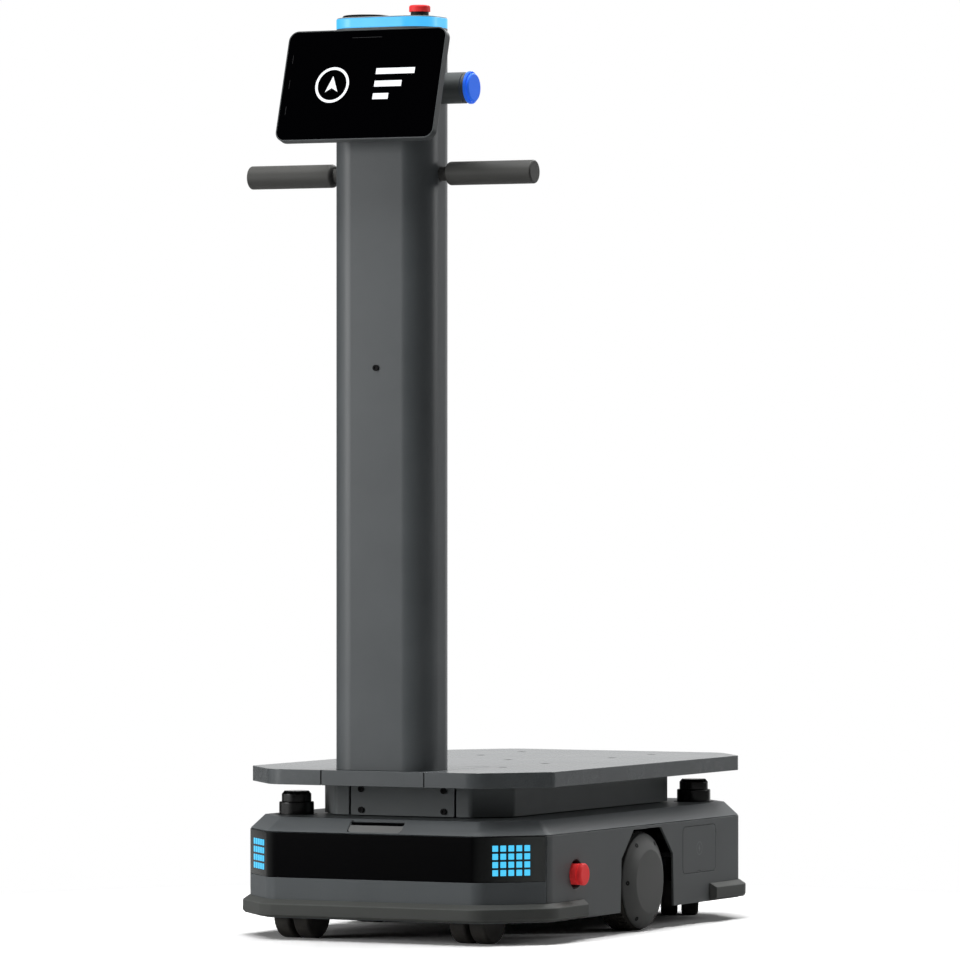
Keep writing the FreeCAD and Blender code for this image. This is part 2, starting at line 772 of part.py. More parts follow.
def make_base_frame():
    """Welded frame: a plate, a cradle for the battery and the posts that carry the deck."""
    plate_top = "frame_bottom + frame_thickness"
    plate = body_prism("frame_plate", "wall + frame_gap", "frame_bottom", plate_top)
    wheel_y = ("-wheel_notch_y", "wheel_notch_y")
    socket_y = ("door_front - notch_margin", "door_rear + notch_margin")
    cup_y = ("-stop_y - stop_hole - notch_margin", "-stop_y + stop_hole + notch_margin")
    cup_x = "stop_stem_end - stop_stem_room"
    notches = [
        block("right_notch", ("wheel_notch_x", "clear_reach"), wheel_y, everywhere()),
        block("left_notch", ("-clear_reach", "-wheel_notch_x"), wheel_y, everywhere()),
        block("socket_notch", ("socket_back - notch_margin", "clear_reach"), socket_y, everywhere()),
        block("right_cup_notch", (cup_x, "clear_reach"), cup_y, everywhere()),
        block("left_cup_notch", ("-clear_reach", f"-({cup_x})"), cup_y, everywhere()),
    ]
    length = ("-cradle_half_length", "cradle_half_length")
    inside = "cradle_half_width - cradle_wall"
    parts = [cut("notched_plate", plate, *notches)]
    height = ("cradle_bottom", "frame_bottom + weld_overlap")
    parts.append(block("cradle_right", (inside, "cradle_half_width"), length, height))
    parts.append(block("cradle_left", ("-cradle_half_width", f"-({inside})"), length, height))
    floor = ("cradle_bottom", "cradle_bottom + cradle_wall")
    parts.append(block("cradle_floor", ("-cradle_half_width", "cradle_half_width"), length, floor))
    spans = post_spans("0")
    for index, (x, y) in enumerate(spans):
        top = "deck_top - deck_plate" if index < len(spans) - 2 else "deck_bottom"
        parts.append(block(f"post_{index}", x, y, ("frame_bottom + weld_overlap", top)))
    node(join("base_frame", parts), "base_frame")
    battery_y = ("-battery_half_length", "battery_half_length")
    battery_x = ("-battery_half_width", "battery_half_width")
    node(block("battery_pack", battery_x, battery_y, ("battery_bottom", "battery_top")), "battery_pack")
    control_x = ("-control_half_width", "control_half_width")
    control_y = ("-control_half_length", "control_half_length")
    node(block("control_unit", control_x, control_y, (plate_top, "control_top")), "control_unit")


def make_covers():
    """Everything that closes the lower body."""
    shell = make_body_shell()
    make_top_cover(shell)
    front = cover_zone("front_zone", everywhere(), ("-clear_reach", "-seam_y - seam_gap / 2"))
    make_light_panel(common("front_wall", shell, front))
    make_led_tiles()
    rear = cover_zone("rear_zone", everywhere(), ("seam_y + seam_gap / 2", "clear_reach"))
    node(common("rear_cover", shell, rear), "rear_cover")
    make_side_covers(shell)


def bumper_zone(name, sign):
    """Space of one bumper seen from above; its ends ramp in towards the body."""
    outside = "body_half_width + bumper_ramp_out"
    half = [
        ("body_half_width", f"{sign} * bumper_end"),
        (outside, f"{sign} * (bumper_end + bumper_ramp)"),
        ("clear_reach", f"{sign} * (bumper_end + bumper_ramp)"),
        ("clear_reach", f"{sign} * clear_reach"),
    ]
    corners = half + [(f"-({x})", y) for x, y in reversed(half)]
    return prism(name, corners, "-clear_reach", "clear_reach")


def make_bumpers():
    """Rubber strips around the front and the rear of the lower body."""
    strip = body_prism("bumper_outside", "-bumper_depth", "bumper_bottom", "bumper_top")
    bevel_edges(strip, "bumper_bevel_down", "bumper_bevel_in", level("bumper_top"))
    bevel_edges(strip, "bumper_edge", "bumper_edge", level("bumper_bottom"))
    core = body_prism("bumper_inside", "-bumper_gap", "0", "body_top")
    ring = cut("bumper_ring", strip, core)
    for label, sign in (("front_bumper", -1), ("rear_bumper", 1)):
        node(common(label, ring, bumper_zone(f"{label}_zone", sign)), label)


def make_scanners():
    """Two laser scanners on opposite corners of the top cover."""
    base_profile = [("0", "body_top"), ("scanner_base_radius", "body_top"),
                    ("scanner_base_radius", "scanner_base_top"), ("0", "scanner_base_top")]
    window_profile = [("0", "scanner_base_top"), ("scanner_window_radius", "scanner_base_top"),
                      ("scanner_window_radius", "scanner_top - scanner_bevel_down"),
                      ("scanner_window_radius - scanner_bevel_in", "scanner_top"), ("0", "scanner_top")]
    bases, windows = [], []
    for label, sign in (("front", -1), ("rear", 1)):
        x, y = f"{sign} * scanner_x", f"{sign} * scanner_y"
        base = turned(f"{label}_scanner_base", base_profile)
        round_edges(base, "scanner_round", rim("scanner_base_top", "scanner_base_radius"))
        bases.append(place(base, x, y))
        windows.append(place(turned(f"{label}_scanner_window", window_profile), x, y))
    node(group("scanner_bases", bases), "scanner_bases")
    node(group("scanner_windows", windows), "scanner_windows")


def make_screw(name, x, y, z):
    """Socket screw head that faces the front."""
    head = rod(f"{name}_head", "screw_radius", "screw_head", "-y", x, y, z)
    socket = rod(f"{name}_socket", "socket_radius", "screw_head", "-y", x, f"{y} - screw_head / 2", z)
    return cut(name, head, socket)


def make_pedestal():
    """Housing under the deck, with a screwed plate in its front."""
    corner = ("pedestal_cut_x", "pedestal_cut_y")
    top = "deck_top - deck_plate"
    sizes = ("pedestal_half_width", "pedestal_half_length", corner, corner)
    outside = prism("pedestal_outside", plan_corners(*sizes), "pedestal_bottom", top)
    round_edges(outside, "pedestal_round", upright)
    inside = prism("pedestal_inside", plan_corners(*sizes, "pedestal_wall"), "0", "deck_top")
    round_edges(inside, "pedestal_round - pedestal_wall", upright)
    window_x = ("-plate_half_width - plate_gap", "plate_half_width + plate_gap")
    window_y = ("-clear_reach", "-foot_post_y - post_size")
    window = block("pedestal_window", window_x, window_y, ("0", "deck_top"))
    node(cut("pedestal_housing", outside, inside, window), "pedestal_housing")
    plate_x = ("-plate_half_width", "plate_half_width")
    plate_y = ("-pedestal_half_length", "-pedestal_half_length + plate_thickness")
    node(block("pedestal_plate", plate_x, plate_y, ("pedestal_bottom", "plate_top")), "pedestal_plate")
    screws = []
    for height in ("screw_low", "screw_high"):
        for side, sign in SIDES.items():
            x = f"{sign} * screw_x"
            screws.append(make_screw(f"{side}_{height}_screw", x, "-pedestal_half_length", height))
    screws.append(make_screw("column_front_screw", "0", "-column_y - column_half_depth", "column_screw"))
    node(group("cover_screws", screws), "cover_screws")


def insert_places():
    """Places of the threaded inserts in the deck: the corners of two rectangles, and one between them."""
    rows = ("-front_insert_near", "-front_insert_far", "rear_insert_near", "rear_insert_far")
    corners = [(f"{sign} * insert_x", y) for y in rows for sign in (-1, 1)]
    return corners + [("0", "middle_insert_y")]


def make_deck():
    """Load deck as a shallow pan, its threaded inserts and the foot that the column stands on."""
    cuts = (("deck_front_cut_x", "deck_front_cut_y"), ("deck_rear_cut_x", "deck_rear_cut_y"))
    sizes = ("deck_half_width", "body_half_length", *cuts)
    pan = prism("deck_outside", plan_corners(*sizes), "deck_bottom", "deck_top")
    side = value("deck_half_width")

    def at_side(edge):
        """True for the upright edges where a cut corner meets a side."""
        return upright(edge) and abs(abs(edge.Vertexes[0].X) - side) < NEAR

    def at_end(edge):
        """True for the upright edges where a cut corner meets an end."""
        return upright(edge) and abs(edge.Vertexes[0].X) < side - value("deck_side_round")

    round_edges(pan, "deck_side_round", at_side)
    round_edges(pan, "deck_end_round", at_end)
    round_edges(pan, "deck_edge", level("deck_top"))
    hollow = prism("deck_hollow", plan_corners(*sizes, "deck_rim"), "0", "deck_top - deck_plate")
    round_edges(hollow, "deck_end_round - deck_rim", at_end)
    notch_x = ("-foot_half_width", "foot_half_width")
    notch = block("foot_notch", notch_x, ("-clear_reach", "-foot_rear"), ("0", "clear_reach"))
    holes, inserts = [], []
    for index, (x, y) in enumerate(insert_places()):
        holes.append(rod(f"insert_hole_{index}", "insert_radius + fit_gap", "clear_reach", "+z", x, y))
        start = "deck_top - insert_length"
        bush = rod(f"insert_bush_{index}", "insert_radius", "insert_length", "+z", x, y, start)
        bore = rod(f"insert_bore_{index}", "insert_bore", "insert_length", "+z", x, y, start)
        inserts.append(cut(f"insert_{index}", bush, bore))
    node(cut("load_deck", pan, hollow, notch, *holes), "load_deck")
    node(group("deck_inserts", inserts), "deck_inserts")
    foot_x = "foot_half_width - foot_gap"
    foot_corners = rectangle(foot_x, "-body_half_length", "-foot_rear - foot_gap")
    foot = prism("column_foot", foot_corners, "deck_bottom", "deck_top")
    front = value("-body_half_length")
    at_top = level("deck_top")
    round_edges(foot, "deck_edge", lambda edge: at_top(edge) and abs(edge.BoundBox.YMax - front) < NEAR)
    node(foot, "column_foot")


def make_column():
    """Hollow column with its light ring, cap, upward window and stop button collar."""
    outside = column_prism("column_outside", "0", "deck_top", "column_top")
    inside = column_prism("column_inside", "column_wall", "0", "column_top + column_wall")
    hole_start = ("-clear_reach", "-column_y", "handle_height")
    bar_hole = rod("bar_hole", "bar_radius + fit_gap", "2 * clear_reach", "+x", *hole_start)
    node(cut("column_tube", outside, inside, bar_hole), "column_tube")
    ring_bottom = "column_top + ring_gap"
    ring = column_prism("ring_outside", "0", ring_bottom, "ring_top")
    hole = column_prism("ring_inside", "ring_wall", "column_top - ring_wall", "cap_top")
    node(cut("light_ring", ring, hole), "light_ring")
    lid_bottom = "ring_top + ring_gap"
    plug = column_prism("cap_plug", "ring_wall + ring_gap", "plug_bottom", lid_bottom)
    lid = column_prism("cap_lid", "cap_inset", lid_bottom, "cap_top")
    round_edges(lid, "cap_edge", level("cap_top"))
    node(join("top_cap", [plug, lid]), "top_cap")
    window_profile = [("0", "cap_top"), ("window_radius", "cap_top"),
                      ("window_radius", "window_top"), ("0", "window_top")]
    window = turned("top_camera_window", window_profile)
    round_edges(window, "window_round", rim("window_top", "window_radius"))
    node(place(window, "-window_x", "-column_y"), "top_camera_window")
    bore = "stem_radius + stem_gap"
    collar_profile = [("0", "cap_top"), ("collar_radius", "cap_top"), ("collar_radius", "collar_top"),
                      (bore, "collar_top"), (bore, "collar_floor"), ("0", "collar_floor")]
    node(place(turned("top_stop_collar", collar_profile), "top_stop_x", "-column_y"), "top_stop_collar")
    head_profile = [
        ("0", "stem_bottom"),
        ("stem_radius", "stem_bottom"),
        ("stem_radius", "head_ceiling"),
        ("collar_radius + slide_gap", "head_ceiling"),
        ("collar_radius + slide_gap", "head_bottom"),
        ("head_radius", "head_bottom"),
        ("head_radius", "head_top"),
        ("0", "head_top"),
    ]
    head = turned("top_stop_button", head_profile)
    round_edges(head, "head_edge", rim("head_top", "head_radius"))
    node(place(head, "top_stop_x", "-column_y"), "top_stop_button")


def tilt_display(piece):
    """Put a piece of the display at the display's lower front edge, leaning back."""
    lean = "90 - display_lean"
    place(piece, "0", "-display_reach", "display_bottom", (ACROSS, value(lean)))
    bind(piece, Placement__Rotation__Angle=lean)
    return piece


def glass_prism(name, margin, start, end):
    """Prism of the display glass, grown by a margin."""
    inset = f"(glass_inset - ({margin}))"
    corners = rectangle(f"display_half_width - {inset}", inset, f"display_height - {inset}")
    return round_edges(prism(name, corners, start, end), f"display_round - {inset}", upright)


def make_display():
    """Display in a shallow shell, and the bracket that holds it on the column."""
    block_corners = rectangle("display_half_width", "0", "display_height")
    shell = prism("display_block", block_corners, "-display_thickness", "0")
    round_edges(shell, "display_round", upright)
    round_edges(shell, "display_back_edge", level("-display_thickness"))
    seat = glass_prism("glass_seat", "glass_gap", "-glass_thickness - glass_gap", "display_thickness")
    room_half = "display_half_width - pocket_inset"
    room_corners = rectangle(room_half, "pocket_inset", "display_height - pocket_inset")
    room = prism("display_room", room_corners, "-pocket_floor", "0")
    node(tilt_display(cut("display_shell", shell, seat, room)), "display_shell")
    glass = glass_prism("display_glass", "0", "-glass_thickness", "-glass_gap")
    node(tilt_display(glass), "display_glass")
    lean = "display_lean * 1 deg"
    back_y = f"-display_reach + display_thickness * cos({lean}) + fit_gap"
    back_z = f"display_bottom - display_thickness * sin({lean})"
    corners = []
    for height in ("bracket_low", "bracket_high"):
        corners.append((f"{back_y} + {height} * sin({lean})", f"{back_z} + {height} * cos({lean})"))
    column_front = "-column_y - column_half_depth - fit_gap"
    corners += [(column_front, "bracket_foot_high"), (column_front, "bracket_foot_low")]
    bracket = prism("display_bracket", corners, "-bracket_half_width", "bracket_half_width", "YZ_Plane")
    node(bracket, "display_bracket")


def make_handles():
    """Bar through the column with a soft grip at each end."""
    start = ("-bar_half_length", "-column_y", "handle_height")
    bar = rod("handle_bar", "bar_radius", "2 * bar_half_length", "+x", *start)
    node(bar, "handle_bar")
    bore = "bar_radius + fit_gap"
    profile = [
        (bore, "grip_start"),
        ("grip_radius", "grip_start"),
        ("grip_radius", "grip_end"),
        ("0", "grip_end"),
        ("0", "bar_half_length + fit_gap"),
        (bore, "bar_half_length + fit_gap"),
    ]
    for side, sign in SIDES.items():
        grip = turned(f"{side}_handle_grip", profile)
        round_edges(grip, "grip_edge", rim("grip_end", "grip_radius"))
        round_edges(grip, "grip_collar_edge", rim("grip_start", "grip_radius"))
        turn = TURNS["+x" if sign > 0 else "-x"]
        node(place(grip, "0", "-column_y", "handle_height", turn), f"{side}_handle_grip")


def make_call_button():
    """Round boss on the column's right side, with a blue bezel and a blue push button."""
    middle = ("-column_y", "call_height")
    boss = rod("boss_blank", "boss_radius", "boss_end - boss_start", "+x", "boss_start", *middle)
    nose = rod("boss_nose", "nose_radius", "nose_end - boss_start", "+x", "boss_start", *middle)
    stem_length = "nose_end - call_bore_end"
    bore = rod("boss_bore", "stem_radius + stem_gap", stem_length, "+x", "call_bore_end", *middle)
    column = column_prism("boss_column", "-fit_gap", "0", "column_top")
    node(cut("call_button_boss", join("boss_with_nose", [boss, nose]), column, bore), "call_button_boss")
    bezel_profile = [("bezel_bore", "nose_end"), ("bezel_radius", "nose_end"),
                     ("bezel_radius", "bezel_end"), ("bezel_bore", "bezel_end")]
    bezel = turned("call_button_bezel", bezel_profile)
    round_edges(bezel, "bezel_edge", rim("bezel_end", "bezel_radius"))
    node(place(bezel, "0", "-column_y", "call_height", TURNS["+x"]), "call_button_bezel")
    button_profile = [
        ("0", "call_stem_end"),
        ("stem_radius", "call_stem_end"),
        ("stem_radius", "call_back"),
        ("call_radius", "call_back"),
        ("call_radius", "call_face"),
        ("0", "call_face"),
    ]
    button = turned("call_button", button_profile)
    round_edges(button, "call_edge", rim("call_face", "call_radius"))
    node(place(button, "0", "-column_y", "call_height", TURNS["+x"]), "call_button")


def make_drive_units():
    """A hub motor wheel on a swing arm at each side, and the brackets that the arms turn on."""
    tyre_profile = [("tyre_inner", "tyre_start"), ("wheel_radius", "tyre_start"),
                    ("wheel_radius", "tyre_end"), ("tyre_inner", "tyre_end")]
    bore = "axle_radius + fit_gap"
    rotor = "tyre_inner - fit_gap"
    motor_profile = [(bore, "motor_start"), (rotor, "motor_start"), (rotor, "motor_end"), ("0", "motor_end"),
                     ("0", "axle_bore_end"), (bore, "axle_bore_end")]
    cover_profile = [
        ("0", "motor_end + fit_gap"),
        ("cover_boss", "motor_end + fit_gap"),
        ("cover_boss", "cover_face - cover_skin"),
        ("cover_flat - cover_skin / 2", "cover_face - cover_skin"),
        ("cover_rim - cover_skin", "cover_back"),
        ("cover_rim", "cover_back"),
        ("cover_rim", "cover_rim_face"),
        ("cover_flat", "cover_face"),
        ("0", "cover_face"),
    ]
    brackets = []
    for side, sign in SIDES.items():
        turn = TURNS["+x" if sign > 0 else "-x"]
        tyre = turned(f"{side}_tyre", tyre_profile)
        round_edges(tyre, "tyre_round", rim("tyre_start", "wheel_radius"))
        round_edges(tyre, "tyre_round", rim("tyre_end", "wheel_radius"))
        node(place(tyre, "0", "0", "wheel_radius", turn), f"{side}_tyre")
        motor = turned(f"{side}_hub_motor", motor_profile)
        node(place(motor, "0", "0", "wheel_radius", turn), f"{side}_hub_motor")
        cover = turned(f"{side}_hub_cover", cover_profile)
        node(place(cover, "0", "0", "wheel_radius", turn), f"{side}_hub_cover")
        arm = make_swing_arm()
        bracket = make_pivot_bracket()
        if sign < 0:
            arm, bracket = mirrored("left_arm", arm), mirrored("left_bracket", bracket)
        node(arm, f"{side}_swing_arm")
        brackets.append(bracket)
    node(group("pivot_brackets", brackets), "pivot_brackets")


def make_swing_arm():
    """Right swing arm with the wheel's fixed axle."""
    width = "arm_end - arm_start"
    pivot = ("arm_start", "arm_pivot_y", "arm_pivot_z")
    web_corners = [
        ("0", "wheel_radius - arm_pivot_boss"),
        ("arm_pivot_y", "arm_pivot_z - arm_pivot_boss"),
        ("arm_pivot_y", "arm_pivot_z + arm_pivot_boss"),
        ("0", "wheel_radius + arm_pivot_boss"),
    ]
    web = prism("arm_web", web_corners, "arm_start", "arm_end", "YZ_Plane")
    wheel_boss = rod("arm_wheel_end", "arm_wheel_boss", width, "+x", "arm_start", "0", "wheel_radius")
    pivot_boss = rod("arm_pivot_end", "arm_pivot_boss", width, "+x", *pivot)
    axle = rod("wheel_axle", "axle_radius", "axle_end - arm_start", "+x", "arm_start", "0", "wheel_radius")
    hole = rod("arm_bore", "pivot_radius + fit_gap", width, "+x", *pivot)
    return cut("swing_arm", join("arm_blank", [web, wheel_boss, pivot_boss, axle]), hole)


def make_pivot_bracket():
    """Right bracket under the base frame, with the pin that the swing arm turns on."""
    y = ("arm_pivot_y - bracket_half", "arm_pivot_y + bracket_half")
    foot = block("bracket_block", ("bracket_start", "bracket_end"), y, ("bracket_bottom", "frame_bottom"))
    pin_start = ("bracket_start", "arm_pivot_y", "arm_pivot_z")
    pin = rod("bracket_pin", "pivot_radius", "pin_end - bracket_start", "+x", *pin_start)
    return join("pivot_bracket", [foot, pin])


def make_casters():
    """Four twin-wheel casters under the corners, each turned on its kingpin as it came to rest."""
    wheel_profile = [
        ("caster_axle_radius + fit_gap", "caster_wheel_start"),
        ("caster_radius", "caster_wheel_start"),
        ("caster_radius", "caster_wheel_end"),
        ("caster_axle_radius + fit_gap", "caster_wheel_end"),
    ]
    plates = []
    for end, sign_y in (("front", -1), ("rear", 1)):
        for side, sign_x in SIDES.items():
            corner = f"{end}_{side}"
            x, y = f"{sign_x} * caster_x", f"{sign_y} * caster_y"
            swivel = f"{corner}_swivel"
            for label, piece in (("fork", make_caster_fork()), ("wheels", make_caster_wheels(wheel_profile))):
                place(piece, x, y, "0", (UP, value(swivel)))
                bind(piece, Placement__Rotation__Angle=swivel)
                node(piece, f"{corner}_caster_{label}")
            half = "caster_plate_half"
            height = ("caster_plate_bottom", "frame_bottom")
            plate_x = (f"{x} - {half}", f"{x} + {half}")
            plate_y = (f"{y} - {half}", f"{y} + {half}")
            plate = block(f"{corner}_plate_blank", plate_x, plate_y, height)
            bore = rod(f"{corner}_plate_bore", "kingpin_radius + fit_gap", "clear_reach", "+z", x, y)
            plates.append(cut(f"{corner}_plate", plate, bore))
    node(group("caster_plates", plates), "caster_plates")


def make_caster_fork():
    """Central leg with a race on top, a kingpin and the wheels' axle."""
    leg_x = ("-leg_half_width", "leg_half_width")
    leg = block("caster_leg", leg_x, ("-leg_front", "leg_rear"), ("leg_bottom", "race_bottom + weld_overlap"))
    race = rod("caster_race", "race_radius", "race_top - race_bottom", "+z", z="race_bottom")
    kingpin = rod("caster_kingpin", "kingpin_radius", "kingpin_top - race_bottom", "+z", z="race_bottom")
    axle_start = ("-caster_axle_half", "caster_trail", "caster_radius")
    axle = rod("caster_axle", "caster_axle_radius", "2 * caster_axle_half", "+x", *axle_start)
    return join("caster_fork", [leg, race, kingpin, axle])


def make_caster_wheels(profile):
    """Pair of wheels, one on each side of the leg."""
    pair = []
    for side, sign in SIDES.items():
        wheel = turned(f"caster_{side}_wheel", profile)
        round_edges(wheel, "caster_wheel_round", rim("caster_wheel_start", "caster_radius"))
        round_edges(wheel, "caster_wheel_round", rim("caster_wheel_end", "caster_radius"))
        pair.append(place(wheel, "0", "caster_trail", "caster_radius", TURNS["+x" if sign > 0 else "-x"]))
    return group("caster_wheels", pair)


def check_document():
    """Stop if any object failed or any piece has no valid solid."""
    doc.recompute()
    for obj in doc.Objects:
        if "Invalid" in obj.State or "Error" in obj.State:
            raise RuntimeError(f"{obj.Name} failed: {obj.State}")
    for piece in nodes:
        shape = piece.Shape
        if shape.isNull() or not shape.isValid() or not shape.Solids:
            raise RuntimeError(f"{piece.Label} has no valid solid")


def write_parts():
    """Write each piece to a file of its own, named after the piece."""
    os.makedirs("parts", exist_ok=True)
    for piece in nodes:
        piece.Shape.exportStep(f"parts/{piece.Label}.step")
        print(piece.Label, len(piece.Shape.Solids), round(piece.Shape.Volume / 1000, 1), "cm3")
    print(len(nodes), "pieces")


fill_sheet()
make_base_frame()
make_covers()
make_charge_door()
make_charge_socket()
make_side_stops()
make_bumpers()
make_scanners()
make_pedestal()
make_deck()
make_column()
make_display()
make_handles()
make_call_button()
make_drive_units()
make_casters()
check_document()
write_parts()
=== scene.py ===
"""Looks of the delivery robot: finishes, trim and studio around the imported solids.

Lengths are metres, in the robot's own frame: front is -Y, up is +Z, and the charge door is on +X.
"""
from __future__ import annotations

import json
import logging
import math
from abc import ABC, abstractmethod
from dataclasses import dataclass
from enum import Enum
from functools import cache

import bmesh
import bpy
from mathutils import Color, Matrix, Vector

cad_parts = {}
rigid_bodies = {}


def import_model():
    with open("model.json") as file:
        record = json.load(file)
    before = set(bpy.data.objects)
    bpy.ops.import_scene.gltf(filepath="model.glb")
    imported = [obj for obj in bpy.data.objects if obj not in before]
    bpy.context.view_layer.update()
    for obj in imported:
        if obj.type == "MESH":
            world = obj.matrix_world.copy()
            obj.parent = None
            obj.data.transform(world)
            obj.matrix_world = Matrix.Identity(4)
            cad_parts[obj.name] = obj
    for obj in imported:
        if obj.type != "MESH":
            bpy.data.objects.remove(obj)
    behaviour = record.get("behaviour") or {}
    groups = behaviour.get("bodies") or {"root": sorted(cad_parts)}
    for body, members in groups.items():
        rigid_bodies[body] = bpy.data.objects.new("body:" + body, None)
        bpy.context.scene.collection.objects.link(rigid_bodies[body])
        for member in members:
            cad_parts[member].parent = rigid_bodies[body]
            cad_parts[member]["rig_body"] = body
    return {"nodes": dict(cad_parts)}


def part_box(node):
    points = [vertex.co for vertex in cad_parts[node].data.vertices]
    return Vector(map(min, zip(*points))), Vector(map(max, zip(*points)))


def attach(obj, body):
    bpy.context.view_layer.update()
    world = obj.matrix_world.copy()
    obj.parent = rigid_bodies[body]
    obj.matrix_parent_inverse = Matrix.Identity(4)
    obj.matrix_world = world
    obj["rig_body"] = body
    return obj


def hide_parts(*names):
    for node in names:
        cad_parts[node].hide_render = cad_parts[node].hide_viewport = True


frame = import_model()

LOG = logging.getLogger("delivery_robot")
MM = 0.001
FULL_TURN = 2 * math.pi
QUARTER = math.radians(90)
HALF_ROUND = 180
FULL_STEP = 255
WHITE = (1.0, 1.0, 1.0, 1.0)
CHASSIS = "chassis"
SIDES = ("left", "right")
CORNERS = ("front_left", "front_right", "rear_left", "rear_right")
EDGE_ATTRIBUTE = "edge"
MATRIX_SIZE = 4
Outline = list[tuple[float, float]]
Pairs = tuple[tuple[float, float], ...]
Point = tuple[float, float, float]
Tone = tuple[float, float, float, float]


def rotated(angle: float, axis: str) -> Matrix:
    """Turn about one axis."""
    return Matrix.Rotation(angle, MATRIX_SIZE, axis)


def moved(x: float = 0.0, y: float = 0.0, z: float = 0.0) -> Matrix:
    """Move along the axes."""
    return Matrix.Translation((x, y, z))


class Grain(Enum):
    """Fine surface of a finish, as the stretch of its grain along X, Y and Z."""

    EVEN = (1.0, 1.0, 1.0)
    BRUSHED_UP = (1.0, 1.0, 0.03)
    BRUSHED_ACROSS = (0.03, 1.0, 1.0)


class Axis(Enum):
    """Turn for a piece that is drawn facing up, so that it faces another way."""

    RIGHT = rotated(QUARTER, "Y")
    LEFT = rotated(-QUARTER, "Y")
    FRONT = rotated(QUARTER, "X")
    RIGHT_UPRIGHT = rotated(QUARTER, "Z") @ rotated(QUARTER, "X")


class Round(Enum):
    """Width of the round on the sharp edges of a piece."""

    HAIR = 0.3 * MM
    FINE = 0.4 * MM
    THIN = 0.5 * MM
    SMALL = 0.6 * MM
    SOFT = 0.8 * MM
    FULL = 1.0 * MM
    WIDE = 1.5 * MM


def outward(side: str) -> Matrix:
    """Turn for a piece that faces out of one side of the robot."""
    return Axis.RIGHT.value if side == "right" else Axis.LEFT.value


def middle(node: str) -> Vector:
    """Middle of a node's box."""
    low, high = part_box(node)
    return (low + high) / 2


def rectangle(left: float, bottom: float, right: float, top: float) -> Outline:
    """Corners of a rectangle, against the clock."""
    return [(left, bottom), (right, bottom), (right, top), (left, top)]


def ring_outlines(radius: float, line: float, steps: int, centre: float = 0.0) -> list[Outline]:
    """Flat ring, as short stretches with four corners.

    Args:
        radius: Outer radius.
        line: Width of the ring.
        steps: Number of stretches.
        centre: Place of its middle on X.

    Returns:
        Outline of each stretch.
    """
    inner = radius - line
    turns = [FULL_TURN * step / steps for step in range(steps + 1)]
    outlines = []
    for start, end in zip(turns, turns[1:]):
        ends = ((radius, start), (radius, end), (inner, end), (inner, start))
        outlines.append([(centre + out * math.cos(turn), out * math.sin(turn)) for out, turn in ends])
    return outlines


